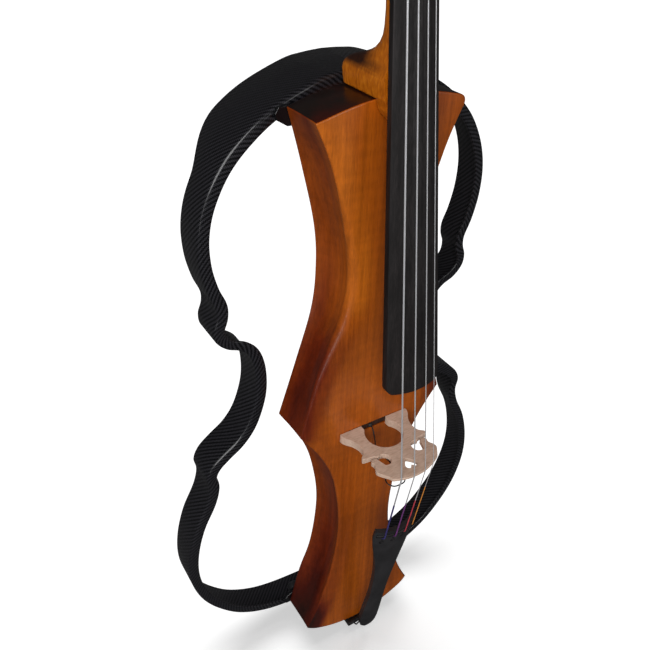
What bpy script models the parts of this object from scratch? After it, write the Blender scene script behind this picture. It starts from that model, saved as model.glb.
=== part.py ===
"""An electric cello: a slim wooden body, detachable carbon wings in a cello's outline, and its fittings.

Frame: +X is the player's treble side seen from the front, the front faces -Y, and +Z runs up the neck.
The origin is the endpin's tip with the endpin pushed in. Dimensions below are in millimetres.
"""

from math import cos, pi, radians, sin

import bmesh
import bpy
from mathutils import Matrix, Vector

MM = 0.001
GAP = 0.3  # clearance between touching pieces

# Driving dimensions
BODY_BASE = 22.0  # height of the body's bottom centre
BODY_LENGTH = 773.0
BODY_FRONT = -27.0  # y of the belly
BODY_BACK = 27.0  # y of the back
FRONT_THICK = 14.0
EDGE_FALL = 3.0  # how far the belly's edge lies behind its flat middle
BRIDGE_UP = 380.0  # heights above the body's bottom centre
BOARD_END_UP = 485.0
NUT_UP = 1068.0
NUT_STRING_Y = -19.0
STRING_X = (-23.5, -8.0, 8.0, 23.5)  # on the bridge, C G D A
STRING_RADIUS = (0.9, 0.7, 0.55, 0.4)
STRING_NAMES = ("c", "g", "d", "a")
NUT_SPREAD = 22.0 / 47.0  # string spacing at the nut over that at the bridge
TAIL_SPREAD = 42.0 / 47.0

# The body's outline: half-width against height above the bottom centre, at the belly and at the back
TIP_UP = 400.0
CORNER_UP = 759.0
FOOT_CORNER_UP = 29.0
CORNER_HALF = 84.0
FOOT_HALF = 86.0
UPPER_FRONT = (
    (CORNER_HALF, CORNER_UP), (64, 708), (46, 642), (38.5, 585), (47, 538), (74, 477), (97, TIP_UP),
)
UPPER_BACK = (
    (CORNER_HALF, CORNER_UP), (68, 697), (54.5, 638), (51, 590), (56, 535), (76, 468), (98, TIP_UP),
)
LOWER_FRONT = (
    (97, TIP_UP), (69, 355), (49.5, 303), (40, 219), (48, 143), (64.5, 85), (FOOT_HALF, FOOT_CORNER_UP),
)
LOWER_BACK = (
    (98, TIP_UP), (66, 341), (51, 288), (44.5, 225), (53, 148), (71, 95), (FOOT_HALF, FOOT_CORNER_UP),
)

# The wings: the outline that the rib follows, as half-width against height above the body's bottom
WING_OUTLINE = (
    (1.2, 782.3), (22, 781), (46, 777), (90, 760), (122, 739), (149, 712), (168, 678), (176.5, 645),
    (176.5, 612), (170.5, 583), (163, 563), (163, 550), (167.5, 536), (165.5, 521), (154, 508), (138, 500),
    (127, 487), (121.5, 462), (123, 430), (134, 396), (149, 375), (168, 361), (183, 348),
    (190.5, 332), (188.5, 313), (195, 289), (211, 256), (222, 218), (226, 180), (222, 145),
    (210, 110), (190, 78), (163, 49), (128, 28), (90, 17), (40, 11),
)
WING_FRONT = 32.0
WING_BACK = 75.0
WING_SHOULDER_BACK = 107.0
WING_SKIN = 3.0
FLANGE = 12.5
SHOULDER_FROM, SHOULDER_TO = 690.0, 742.0  # heights between which the rib deepens
BOLT_X = 72.0
BOLTS_UP = (("upper", 749.0, 1), ("lower", 36.0, -1))  # height, and which way the body's end lies
BOLT_HOLE = 2.6

# Electronics
CHAMBER_HALF = 33.0
CHAMBER_UP = (500.0, 640.0)
CHAMBER_FLOOR = -6.0
COVER_THICK = 2.5
COVER_LIP = 4.0
KNOBS = (("volume", -17.0), ("bass", 0.0), ("treble", 17.0))
KNOB_UP = 618.0
JACKS = (("output_jack", -14.0, 4.6), ("headphone_jack", 14.0, 3.2))
JACK_UP = 520.0
BATTERY_UP = 572.0
BATTERY = (26.5, 17.5, 48.5)
BATTERY_FRONT = 5.5
DOOR_HALF, DOOR_HALF_TALL = 17.0, 28.0
BOARD = (60.0, 1.6, 128.0)
BOARD_FRONT = -3.0

# Endpin
ROD_RADIUS = 5.0
ROD_BORE = 5.3
ROD_TOP_UP = 418.0
SOCKET_TOP_UP = 34.0
SOCKET_RADIUS = 11.0
SCREW_Z = 11.0

# Pegbox and pegs
PEG_ALONG = (30.0, 74.0, 93.0, 50.0)  # distance of the C, G, D and A pegs above the nut
PEG_SIDE = (-1, -1, 1, 1)
HEAD_TILT = radians(19.0)
SLOT_LENGTH = 96.0
PEG_DEPTH = 15.0  # behind the pegbox's front face

# The bridge's crown, as heights over the belly
CROWN_X, CROWN_HEIGHT, CROWN_RADIUS = -3.5, 92.0, 60.0

# The pickup's lead, from its ferrule round the crown to the sensor, as (x, y, height over the bridge)
LEAD_RADIUS = 0.75
LEAD_WAY = (
    (-4, -29, 1), (-4.6, -33.5, 0.2), (-6.5, -39.5, -4), (-10.5, -47.5, -5.5), (-15, -55.5, -6.5),
    (-16.5, -66, -7.6), (-13, -78, -8.6), (-15, -90, -9.3), (-23.5, -97, -9.7), (-31.5, -99.5, -9.4),
    (-34, -104.5, -9), (-32.7, -109.2, -9.6), (-28.5, -112.2, -10.8), (-22, -112.2, -12),
    (-15.5, -112.2, -11), (-11.5, -108.5, -9), (-10.8, -104.5, -7.4), (-12.2, -101.8, -5.4),
    (-14.6, -101.2, -4.4),
)

# Tailpiece: half-widths and crest depths by height above the body's bottom
HOLE_UP, FRET_UP, GUT_HOLE_UP = 246.0, 260.0, 26.0
TAIL_WIDTHS = (
    (9.5, 6.5), (13.5, 11.5), (21, 14.6), (38, 15.4), (62, 14.6), (100, 13.0), (140, 14.2), (175, 17.5),
    (205, 22.5), (232, 28.0), (252, 31.0), (268, 30.5),
)
TAIL_CREST = ((9.5, -53.4), (130, -74.0), (268, -98.5))
TAIL_THICKNESS = ((9.5, 4.0), (40, 9.0), (200, 8.0), (268, 6.0))
GUT_RADIUS = 1.0
GUT_WAY = (
    (-7, -53.5, GUT_HOLE_UP), (-7, -47.6, 25.6), (-7.1, -44.6, 19), (-7.3, -40.8, 5), (-8, -37.6, -3),
    (-8.6, -35.8, -7.2), (-9.5, -31, -8.6), (-11.6, -20, -8.4), (-12.9, -8, -8),
)
GUT_TURN = 12.95  # radius of its half turn round the endpin's socket


def clear_scene():
    for obj in list(bpy.data.objects):
        bpy.data.objects.remove(obj)


def make_material(name, colour, roughness, metallic=0.0):
    material = bpy.data.materials.new(name)
    material.use_nodes = True
    shader = material.node_tree.nodes["Principled BSDF"]
    shader.inputs["Base Color"].default_value = (*colour, 1.0)
    shader.inputs["Roughness"].default_value = roughness
    shader.inputs["Metallic"].default_value = metallic
    return material


def add_object(name, bm, material, origin=(0, 0, 0)):
    """The bmesh, in millimetres, as an object whose origin is the given point."""
    bmesh.ops.translate(bm, verts=bm.verts, vec=-Vector(origin))
    bmesh.ops.scale(bm, verts=bm.verts, vec=(MM, MM, MM))
    bmesh.ops.recalc_face_normals(bm, faces=bm.faces)
    mesh = bpy.data.meshes.new(name)
    bm.to_mesh(mesh)
    bm.free()
    obj = bpy.data.objects.new(name, mesh)
    obj.location = Vector(origin) * MM
    bpy.context.scene.collection.objects.link(obj)
    if material:
        mesh.materials.append(material)
        mesh.shade_smooth()
        mesh.set_sharp_from_angle(angle=radians(35))
    return obj


def loft(name, loops, material, origin=(0, 0, 0), ring=False):
    """Loops of equal count joined in order; the ends are capped unless the loops close on themselves."""
    bm = bmesh.new()
    rows = [[bm.verts.new(point) for point in loop] for loop in loops]
    count = len(rows[0])
    pairs = list(zip(rows, rows[1:])) + ([(rows[-1], rows[0])] if ring else [])
    for low, high in pairs:
        for i in range(count):
            j = (i + 1) % count
            bm.faces.new((low[i], low[j], high[j], high[i]))
    if not ring:
        bm.faces.new(rows[0])
        bm.faces.new(rows[-1])
    return add_object(name, bm, material, origin)


def spline(points, steps):
    """A Catmull-Rom curve through the points, with this many steps between neighbours."""
    points = [Vector((*point, 0, 0)[:3]) for point in points]
    ends = [2 * points[0] - points[1], *points, 2 * points[-1] - points[-2]]
    curve = []
    for before, start, stop, after in zip(ends, ends[1:], ends[2:], ends[3:]):
        for step in range(steps):
            t = step / steps
            curve.append(0.5 * (2 * start + (stop - before) * t
                                + (2 * before - 5 * start + 4 * stop - after) * t * t
                                + (3 * start - before - 3 * stop + after) * t ** 3))
    return curve + [points[-1]]


def along(table, height):
    """A value read from a table of (height, value) pairs, straight between them."""
    for (low, first), (high, second) in zip(table, table[1:]):
        if height <= high:
            return first + (second - first) * max(0.0, height - low) / (high - low)
    return table[-1][1]


def axis_frame(centre, axis):
    """A matrix that takes +Z to the axis and the origin to the centre."""
    turn = Vector((0, 0, 1)).rotation_difference(Vector(axis))
    return Matrix.Translation(centre) @ turn.to_matrix().to_4x4()


def turned(name, profile, centre, axis, material, segments=20, ring=False, phase=0.0):
    """A turned piece from (radius, distance along the axis) pairs."""
    frame = axis_frame(centre, axis)
    loops = []
    for radius, distance in profile:
        loop = []
        for k in range(segments):
            angle = phase + 2 * pi * k / segments
            loop.append(frame @ Vector((radius * cos(angle), radius * sin(angle), distance)))
        loops.append(loop)
    return loft(name, loops, material, centre, ring)


def box(name, low, high, material, origin=(0, 0, 0)):
    (x0, y0, z0), (x1, y1, z1) = low, high
    loops = [[(x0, y0, z), (x1, y0, z), (x1, y1, z), (x0, y1, z)] for z in (z0, z1)]
    return loft(name, loops, material, origin)


def drum(name, radius, centre, axis, length, segments=16):
    """A plain cylinder for cutting, from the centre along the axis."""
    return turned(name, ((radius, 0), (radius, length)), centre, axis, None, segments, phase=0.11)


def boolean(obj, other, operation="DIFFERENCE"):
    """Applies one Boolean and removes its helper."""
    modifier = obj.modifiers.new(other.name, "BOOLEAN")
    modifier.operation = operation
    modifier.solver = "EXACT"
    modifier.object = other
    graph = bpy.context.evaluated_depsgraph_get()
    mesh = bpy.data.meshes.new_from_object(obj.evaluated_get(graph))
    obj.modifiers.clear()
    obj.data = mesh
    bpy.data.objects.remove(other)
    mesh.shade_smooth()
    mesh.set_sharp_from_angle(angle=radians(35))


def tube(name, points, radius, material, resolution=2):
    curve = bpy.data.curves.new(name, "CURVE")
    curve.dimensions = "3D"
    curve.bevel_depth = radius * MM
    curve.bevel_resolution = resolution
    curve.use_fill_caps = True
    line = curve.splines.new("POLY")
    line.points.add(len(points) - 1)
    for slot, point in zip(line.points, points):
        slot.co = (*(Vector(point) * MM), 1.0)
    obj = bpy.data.objects.new(name, curve)
    bpy.context.scene.collection.objects.link(obj)
    curve.materials.append(material)
    return obj


# Body

def body_outline(upper, lower, steps=3):
    """The right side's outline from the top centre to the bottom centre, then the left side's back up."""
    crown = [(x, CORNER_UP + (BODY_LENGTH - CORNER_UP) * (1 - (x / CORNER_HALF) ** 2)) for x in (0, 28, 56)]
    foot = [(x, FOOT_CORNER_UP * (x / FOOT_HALF) ** 2) for x in (58, 29, 0)]
    right = crown + [tuple(p[:2]) for p in spline(upper, steps)]
    right += [tuple(p[:2]) for p in spline(lower, steps)][1:] + foot
    return right + [(-x, up) for x, up in right[-2:0:-1]]


FRONT_OUTLINE = body_outline(UPPER_FRONT, LOWER_FRONT)
BACK_OUTLINE = body_outline(UPPER_BACK, LOWER_BACK)


def body_loop(y):
    """The body's outline at one depth, between the belly's and the back's."""
    share = (y - BODY_FRONT) / (BODY_BACK - BODY_FRONT)
    return [(fx + (bx - fx) * share, y, BODY_BASE + fz + (bz - fz) * share)
            for (fx, fz), (bx, bz) in zip(FRONT_OUTLINE, BACK_OUTLINE)]


def belly_loop():
    """The flat middle of the belly, inside the outline."""
    middle = BODY_BASE + BODY_LENGTH / 2
    return [(x * 0.74, BODY_FRONT, middle + (z - middle) * 0.97) for x, _, z in body_loop(BODY_FRONT)]


def make_body(spruce, maple):
    joint = BODY_FRONT + FRONT_THICK
    layers = [belly_loop(), body_loop(BODY_FRONT + EDGE_FALL), body_loop(joint - GAP / 2)]
    front = loft("body_front", layers, spruce)
    bridge_z = BODY_BASE + BRIDGE_UP
    boolean(front, box("pickup_slot", (-34, BODY_FRONT - 1, bridge_z - 3.5),
                       (34, BODY_FRONT + 4, bridge_z + 5.5), None))
    back = loft("body_back", [body_loop(joint + GAP / 2), body_loop(BODY_BACK)], maple)
    low, high = (BODY_BASE + up for up in CHAMBER_UP)
    rim = CHAMBER_HALF + COVER_LIP + GAP
    chamber = box("chamber", (-CHAMBER_HALF, CHAMBER_FLOOR, low), (CHAMBER_HALF, BODY_BACK + 2, high), None)
    boolean(back, chamber)
    rebate = box("rebate", (-rim, BODY_BACK - COVER_THICK - GAP, low - COVER_LIP - GAP),
                 (rim, BODY_BACK + 2, high + COVER_LIP + GAP), None)
    boolean(back, rebate)
    boolean(back, drum("pin_bore", ROD_RADIUS + 2, (0, 0, BODY_BASE - 2), (0, 0, 1), ROD_TOP_UP + 12))
    bore_depth = SOCKET_TOP_UP + 3.4
    boolean(back, drum("socket_bore", SOCKET_RADIUS + GAP, (0, 0, BODY_BASE - 3), (0, 0, 1), bore_depth, 20))
    for side in (-1, 1):
        for _, up, _ in BOLTS_UP:
            centre = (side * BOLT_X, BODY_BACK - 12, BODY_BASE + up)
            boolean(back, drum("insert", BOLT_HOLE, centre, (0, 1, 0), 14, 12))


# Neck, fingerboard and pegbox

def board_under(up):
    """y of the fingerboard's flat underside."""
    return along(((BOARD_END_UP, -80.5), (NUT_UP, -7.5)), up)


def half_loop(half, depth, square, centre, tilt, steps=10):
    """A D-shaped section: a flat front of the given half-width and a back rounded by a superellipse."""
    loop = []
    for k in range(steps + 1):
        angle = -pi / 2 + pi * k / steps
        x = half * abs(sin(angle)) ** (2 / square) * (1 if angle > 0 else -1)
        back = depth * abs(cos(angle)) ** (2 / square)
        loop.append(Vector((x, centre[1] + back * cos(tilt), centre[2] - back * sin(tilt))))
    return loop


def head_point(distance, forward=0.0):
    """A point on the pegbox's front face, this far past the nut, and this far behind that face."""
    return (0.0, -7.2 + distance * sin(HEAD_TILT) + forward * cos(HEAD_TILT),
            BODY_BASE + NUT_UP + distance * cos(HEAD_TILT) - forward * sin(HEAD_TILT))


def make_neck(maple):
    # The root in the body's top, then the heel and the neck: height, half-width, y of the back, squareness
    shape = (
        (752, 14, -27.5, 14), (766, 24.5, -27.4, 14), (BODY_LENGTH + 0.2, 25.5, -27.4, 14),
        (BODY_LENGTH + 0.5, 25.9, 27.8, 12), (780, 27.6, 28.3, 12), (787, 28.2, 28.3, 12),
        (793, 26.6, 26.8, 9), (798, 24.8, 22.0, 6), (803, 24.0, 12.0, 4.5), (809, 23.5, -2.0, 3), (817, 23.1, -11.0, 2.4),
        (832, 22.6, -16.5, 2.1), (860, 22.0, -15.5, 2.0), (1000, 18.2, 3.5, 2.0), (1045, 17.2, 10.5, 2.1),
    )
    sections = []
    for up, half, back, square in shape:
        front = board_under(up) + GAP
        sections.append(half_loop(half, back - front, square, (0, front, BODY_BASE + up), 0))
    # The pegbox: distance past the nut, half-width, depth, squareness, tilt in degrees
    pegbox = ((0, 17, 27, 2.6, 6), (14, 19.5, 36, 4, 16), (30, 20.5, 39, 7, 19), (70, 18.5, 34, 7, 19),
              (105, 16.0, 28, 7, 19), (122, 14.5, 23, 5, 19))
    for distance, half, depth, square, tilt in pegbox:
        sections.append(half_loop(half, depth, square, head_point(distance), radians(tilt)))
    neck = loft("neck", sections, maple)
    for radius, half, distance, forward in ((25, 13.5, 139, 9), (18, 19, 137, 6), (10, 25, 135, 4)):
        _, y, z = head_point(distance, forward)
        profile = ((radius - 2, 0), (radius, 2), (radius, 2 * half - 2), (radius - 2, 2 * half))
        volute = turned("volute", profile, (-half, y, z), (1, 0, 0), None, 24, phase=radius * 0.013)
        boolean(neck, volute, "UNION")
    ends = (12, 12 + SLOT_LENGTH)
    slot = [half_loop(10.5, 25, 12, head_point(distance, -2), HEAD_TILT) for distance in ends]
    boolean(neck, loft("peg_slot", slot, None))
    for distance in PEG_ALONG:
        _, y, z = head_point(distance, PEG_DEPTH)
        boolean(neck, drum("peg_hole", 6.5, (-40, y, z), (1, 0, 0), 80))


def arched_loop(half, crown, side_top, under, z, steps=8):
    """A fingerboard section: an arched playing surface over straight sides and a flat underside."""
    arch = []
    for k in range(steps + 1):
        x = -half + 2 * half * k / steps
        arch.append((x, crown + (side_top - crown) * (x / half) ** 2, z))
    return arch + [(half, under - 1, z), (half - 1, under, z), (-half + 1, under, z), (-half, under - 1, z)]


def make_fingerboard(ebony):
    low, high = BODY_BASE + BOARD_END_UP, BODY_BASE + NUT_UP - GAP
    loops = [arched_loop(32.3, -98.0, -88.6, -81.4, low), arched_loop(33.5, -98.8, -90.0, -80.5, low + 2),
             arched_loop(17.0, -17.0, -14.6, -7.5, high)]
    return loft("fingerboard", loops, ebony)


def make_nut(ebony):
    z = BODY_BASE + NUT_UP
    loops = [arched_loop(17.0, y, y + 2.4, -7.4 + depth, z + rise)
             for y, depth, rise in ((-16.8, 0, 0), (-18.0, 0.6, 1.5), (-11.4, 1.6, 4.6))]
    return loft("nut", loops, ebony)


def make_pegs(ebony):
    """Each peg: a tapered shaft, a turned collar and a flattened thumb piece."""
    turning = ((5.2, 0), (5.7, 1.5), (6.0, 40), (6.1, 50), (8.0, 52), (8.6, 54.5), (6.2, 58))
    shaft = [(radius, radius, out) for radius, out in turning]
    thumb = [(8.0, 6.4, 63), (12.0, 7.0, 69), (13.5, 5.2, 76), (13.0, 4.6, 83), (9.0, 4.0, 89),
             (4.0, 2.6, 91.5)]
    angles = [2 * pi * k / 14 for k in range(14)]
    for name, side, distance in zip(STRING_NAMES, PEG_SIDE, PEG_ALONG):
        _, y, z = head_point(distance, PEG_DEPTH)
        frame = axis_frame((-side * 22, y, z), (side, 0, 0))
        loops = []
        for wide, thin, out in shaft + thumb:
            loops.append([frame @ Vector((wide * cos(a), thin * sin(a), out)) for a in angles])
        loft(f"{name}_peg", loops, ebony, (0, y, z))


# Bridge and strings

def crown(x):
    """Height of the bridge's crown over the belly."""
    return CROWN_HEIGHT - (x - CROWN_X) ** 2 / (2 * CROWN_RADIUS)


def bridge_half():
    """One side of the bridge's outline as (x, height), from the arch's top round the foot to the crown."""
    arch_angles = [radians(15 * k) for k in range(9)]
    arch = [(23 * sin(a), 22.5 + 22.5 * cos(a)) for a in arch_angles]
    foot = [(17.5, 7.5), (17.5, GAP), (46.5, GAP)]
    leg_way = ((46.5, 4.5), (44.5, 9), (39.2, 17), (36.6, 27), (38.2, 36.5), (44.0, 42))
    leg = [tuple(point[:2]) for point in spline(leg_way, 2)]
    slot = [(44.0, 45.5), (36.5, 46.6), (31.0, 47.2)]
    eye_angles = [radians(-55 - 35 * k) for k in range(8)]
    eye = [(23 + 7.6 * cos(a), 57 + 8.2 * sin(a)) for a in eye_angles]
    shoulder = [(31.0, 50.6), (36.5, 50.8), (38.3, 53.5), (37.4, 58.5), (40.5, 64.5), (41.2, 69.0), (37.6, 75),
                (33.6, 80.5)]
    return arch + foot + leg + slot + eye + shoulder


def make_bridge(maple):
    right = bridge_half()
    left = [(-x, height) for x, height in right[:0:-1]]
    top = [(x, crown(x)) for x in (31.5, 23.5, 16, 8, 0, -8, -16, -24, -31.5)]
    outline = right + top + left
    centre = BODY_BASE + BRIDGE_UP

    def face(side):
        loop = []
        for x, height in outline:
            thick = along(((0, 5.5), (10, 5.2), (45, 3.6), (93, 1.5)), height)
            loop.append((x, BODY_FRONT - height, centre + side * thick))
        return loop

    bridge = loft("bridge", [face(-1), face(1)], maple)
    heart = [(0, 67.5), (4.2, 72.0), (7.0, 76.0), (6.2, 79.6), (3.0, 80.4), (0, 77.6)]
    heart += [(-x, height) for x, height in heart[-2:0:-1]]
    cutter = [[(x - 1, BODY_FRONT - height, centre + z) for x, height in heart] for z in (-8, 8)]
    boolean(bridge, loft("heart", cutter, None))


def string_route(index):
    """The string's points from its hole in the tailpiece over the bridge and the nut to its peg."""
    x, radius = STRING_X[index], STRING_RADIUS[index]
    tail_x, nut_x = x * TAIL_SPREAD, x * NUT_SPREAD
    side, distance = PEG_SIDE[index], PEG_ALONG[index]
    _, peg_y, peg_z = head_point(distance, PEG_DEPTH)
    lift = radius + GAP
    peg_x = side * 4.0 if distance < 60 else side * 5.5
    nut_z = BODY_BASE + NUT_UP
    return [(tail_x, tail_face(tail_x, HOLE_UP) + 1.6, BODY_BASE + HOLE_UP),
            (tail_x, tail_face(tail_x, FRET_UP) - 2.2 - lift, BODY_BASE + FRET_UP),
            (x, BODY_FRONT - crown(x) - lift, BODY_BASE + BRIDGE_UP),
            (nut_x, -18.0 + 2.4 * (nut_x / 17) ** 2 - lift, nut_z + 1.5),
            (peg_x, peg_y - 6.0 - lift, peg_z - 1.0)]


def make_strings(steel):
    for index, name in enumerate(STRING_NAMES):
        tube(f"{name}_string", string_route(index), STRING_RADIUS[index], steel)


def make_pickup(rosewood, rubber, piezo):
    z = BODY_BASE + BRIDGE_UP
    bar = box("pickup_bar", (-33.6, BODY_FRONT + 1.2, z - 3.1), (33.6, BODY_FRONT + 3.7, z + 5.1), rosewood)
    boolean(bar, drum("ferrule_hole", 1.7, (-4, BODY_FRONT - 1, z + 1), (0, 1, 0), 6, 12))
    profile = ((1.3, -2.3), (1.3, 0.8), (2.6, 0.9), (2.2, 2.4))
    turned("pickup_ferrule", profile, (-4, BODY_FRONT + 1.0, z + 1), (0, -1, 0), rubber, 12)
    box("bridge_pickup", (-27, BODY_FRONT - 80, z - 5.3), (-15, BODY_FRONT - 70, z - 3.4), piezo)
    route = [(x, y, z + rise) for x, y, rise in spline(LEAD_WAY, 2)]
    tube("pickup_lead", route, LEAD_RADIUS, rubber)


# Tailpiece and endpin

def tail_face(x, up):
    """y of the tailpiece's crowned front face."""
    return along(TAIL_CREST, up) + 0.0095 * x * x


def make_tailpiece(carbon, black):
    loops = []
    for up, half in TAIL_WIDTHS:
        thick = along(TAIL_THICKNESS, up)
        xs = [half * (-1 + k / 4) for k in range(9)]
        face = [(x, tail_face(x, up), BODY_BASE + up) for x in xs]
        back = [(x * 0.9, tail_face(x, up) + thick, BODY_BASE + up) for x in reversed(xs)]
        loops.append(face + back)
    tailpiece = loft("tailpiece", loops, carbon)
    hole_z = BODY_BASE + HOLE_UP
    for string_x in STRING_X:
        x = string_x * TAIL_SPREAD
        y = tail_face(x, HOLE_UP)
        boolean(tailpiece, drum("string_hole", 2.6, (x, y - 4, hole_z), (0, 1, 0), 16, 12))
        boolean(tailpiece, box("string_slot", (x - 1.1, y - 4, hole_z), (x + 1.1, y + 12, hole_z + 10), None))
    for x in (-GUT_WAY[0][0], GUT_WAY[0][0]):
        boolean(tailpiece, drum("gut_hole", 1.8, (x, -62, BODY_BASE + GUT_HOLE_UP), (0, 1, 0), 30, 12))
    ridge = []
    profile = ((-0.15, -2.0), (-1.7, -1.2), (-2.1, 0), (-1.8, 1.2), (-0.85, 2.0))
    for k in range(9):
        x = 29.0 * (-1 + k / 4)
        y = tail_face(x, FRET_UP)
        z = BODY_BASE + FRET_UP
        ridge.append([(x, y + rise, z + up) for rise, up in profile])
    loft("tailpiece_fret", ridge, black)


def make_saddle(ebony):
    section = ((-18, -0.4), (-30.5, -0.4), (-30.5, 3.0), (-34.5, 3.6), (-36, 0.5), (-34, -5.5), (-18, -6))
    loops = [[(x, y, BODY_BASE + up) for y, up in section] for x in (-21, -20, 20, 21)]
    loft("bottom_saddle", loops, ebony)


def make_endpin(black, steel, rubber):
    z = BODY_BASE
    flange, ring = 15.0, 11.5
    profile = (
        (ROD_BORE, -13.5), (ring - 0.8, -13.5), (ring, -12.7), (ring, -6.6), (flange, -6.4), (flange, -0.6),
        (flange - 1, -0.4), (SOCKET_RADIUS, -0.4), (SOCKET_RADIUS, SOCKET_TOP_UP), (ROD_BORE, SOCKET_TOP_UP),
    )
    socket = turned("endpin_socket", profile, (0, 0, z), (0, 0, 1), black, 24, ring=True)
    boolean(socket, drum("screw_hole", 2.0, (0, 4.0, SCREW_Z), (0, 1, 0), 10, 12))
    rod_top = z + ROD_TOP_UP
    rod = ((4.4, 8.3), (ROD_RADIUS, 9.0), (ROD_RADIUS, rod_top - 2), (4.0, rod_top))
    turned("endpin_rod", rod, (0, 0, 0), (0, 0, 1), steel, 20)
    tip = ((3.4, 0), (5.2, 1.2), (6.2, 3.6), (6.6, 6.0), (6.2, 8.0))
    turned("endpin_tip", tip, (0, 0, 0), (0, 0, 1), rubber, 20)
    screw = ((1.5, 5.5), (1.7, 6), (1.7, 15.4), (4.0, 15.5), (6.0, 16.6), (6.0, 23.0), (4.5, 24.0))
    turned("endpin_thumbscrew", screw, (0, 0, SCREW_Z), (0, 1, 0), black, 16)


def make_tailgut(black):
    """A loop from one hole in the tailpiece over the saddle, round the endpin's socket and back."""
    left = [tuple(point) for point in spline(GUT_WAY, 2)]
    angles = [radians(30 * k) for k in range(7)]
    drop = GUT_WAY[-1][2]
    half_turn = [(-GUT_TURN * cos(a), GUT_TURN * sin(a), drop) for a in angles]
    right = [(-x, y, up) for x, y, up in reversed(left)]
    tube("tailgut", [(x, y, BODY_BASE + up) for x, y, up in left + half_turn + right], GUT_RADIUS, black)


# Wings

def wing_section(point, inward, rib_back):
    """The L-shaped section: a rib that runs back from a narrow front flange with a rounded edge."""
    front = WING_FRONT
    inside = front + WING_SKIN
    shape = ((0, front + 4), (1.2, front + 1.2), (4, front), (FLANGE - 0.6, front), (FLANGE, front + 0.6),
             (FLANGE, inside), (WING_SKIN + 1, inside), (WING_SKIN, inside + 1), (WING_SKIN, rib_back), (0, rib_back))
    return [(point.x + inward.x * n, y, BODY_BASE + point.y + inward.y * n) for n, y in shape]


def make_wing(side, carbon):
    name = "wing_left" if side < 0 else "wing_right"
    path = spline(WING_OUTLINE, 2)
    rib_depth = ((0, WING_BACK), (SHOULDER_FROM, WING_BACK), (SHOULDER_TO, WING_SHOULDER_BACK))
    sections = []
    for before, point, after in zip([path[0]] + path, path, path[1:] + [path[-1]]):
        run = (after - before).normalized()
        loop = wing_section(point, Vector((run.y, -run.x)), along(rib_depth, point.y))
        sections.append([(side * x, y, z) for x, y, z in loop])
    return loft(name, sections, carbon)


def make_wings(carbon, black):
    screw = ((1.6, -16.4), (2.2, -15.4), (2.2, 3.6), (7.5, 3.7), (8.5, 5.0), (8.5, 12.5), (7.0, 13.8))
    for side, word in ((-1, "left"), (1, "right")):
        wing = make_wing(side, carbon)
        for place, up, toward in BOLTS_UP:
            x, z = side * BOLT_X, BODY_BASE + up
            make_bracket(f"{place}_{word}_bracket", side, up, toward, black)
            boolean(wing, drum("bolt_hole", BOLT_HOLE, (x, WING_FRONT - 1, z), (0, 1, 0), 6, 12))
            turned(f"{place}_{word}_thumbscrew", screw, (x, WING_FRONT, z), (0, 1, 0), black, 16)


def make_bracket(name, side, up, toward, black):
    """A clip between the body's back and the wing's flange, reaching out past the body's corner."""
    outline = ((58, -9), (82, -9), (93, -2), (95, 4), (91, 10), (58, 12))
    loops = []
    for y in (BODY_BACK + GAP, WING_FRONT - GAP):
        loops.append([(side * x, y, BODY_BASE + up + toward * rise) for x, rise in outline])
    bracket = loft(name, loops, black)
    centre = (side * BOLT_X, BODY_BACK - 1, BODY_BASE + up)
    boolean(bracket, drum("bracket_hole", BOLT_HOLE, centre, (0, 1, 0), 8, 12))


# Electronics

def make_cover(cover_black):
    """The back cover, with its openings for the knobs, the jacks, the screws and the battery's door."""
    low, high = (BODY_BASE + up for up in CHAMBER_UP)
    edge = CHAMBER_HALF + COVER_LIP
    cut_from = BODY_BACK - 5
    cover = box("back_cover", (-edge, BODY_BACK - COVER_THICK, low - COVER_LIP),
                (edge, BODY_BACK - GAP / 2, high + COVER_LIP), cover_black)
    for _, x in KNOBS:
        boolean(cover, drum("knob_hole", 3.6, (x, cut_from, BODY_BASE + KNOB_UP), (0, 1, 0), 8))
    for _, x, hole in JACKS:
        boolean(cover, drum("jack_hole", hole + 1.6, (x, cut_from, BODY_BASE + JACK_UP), (0, 1, 0), 8))
    door_z = BODY_BASE + BATTERY_UP
    opening = box("battery_opening", (-DOOR_HALF, cut_from, door_z - DOOR_HALF_TALL),
                  (DOOR_HALF, BODY_BACK + 2, door_z + DOOR_HALF_TALL), None)
    boolean(cover, opening)
    for _, x, z in cover_screws():
        boolean(cover, drum("screw_hole", 1.5, (x, cut_from, z), (0, 1, 0), 8, 12))


def cover_screws():
    """Each cover screw's place as (name, x, z)."""
    low, high = (BODY_BASE + up for up in CHAMBER_UP)
    return [(f"{place}_{word}", x, z) for place, z in (("lower", low - 2), ("upper", high + 2))
            for word, x in (("left", -35), ("right", 35))]


def make_controls(steel, black):
    knob_z, jack_z = BODY_BASE + KNOB_UP, BODY_BASE + JACK_UP
    potentiometer = ((7.5, 9.0), (7.5, 17.5), (3.2, 17.6), (3.2, 23.9))
    knob = ((2.9, 24.3), (2.9, 27.4), (7.2, 27.6), (7.2, 38), (6.2, 39.5))
    for name, x in KNOBS:
        turned(f"{name}_potentiometer", potentiometer, (x, 0, knob_z), (0, 1, 0), steel, 16)
        turned(f"{name}_knob", knob, (x, 0, knob_z), (0, 1, 0), black, 16)
    for name, x, hole in JACKS:
        bore, barrel, washer = hole - 1.2, hole + 1.3, hole + 2.4
        profile = ((bore, 29.2), (washer, 29.2), (washer, 27.2), (barrel, 27.1), (barrel, 6.0), (bore, 6.0))
        turned(name, profile, (x, 0, jack_z), (0, 1, 0), steel, 16, ring=True)
    for name, x, z in cover_screws():
        profile = ((1.1, 24.8), (1.1, 27.0), (2.6, 27.1), (2.2, 28.2))
        turned(f"cover_screw_{name}", profile, (x, 0, z), (0, 1, 0), steel, 12)


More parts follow.
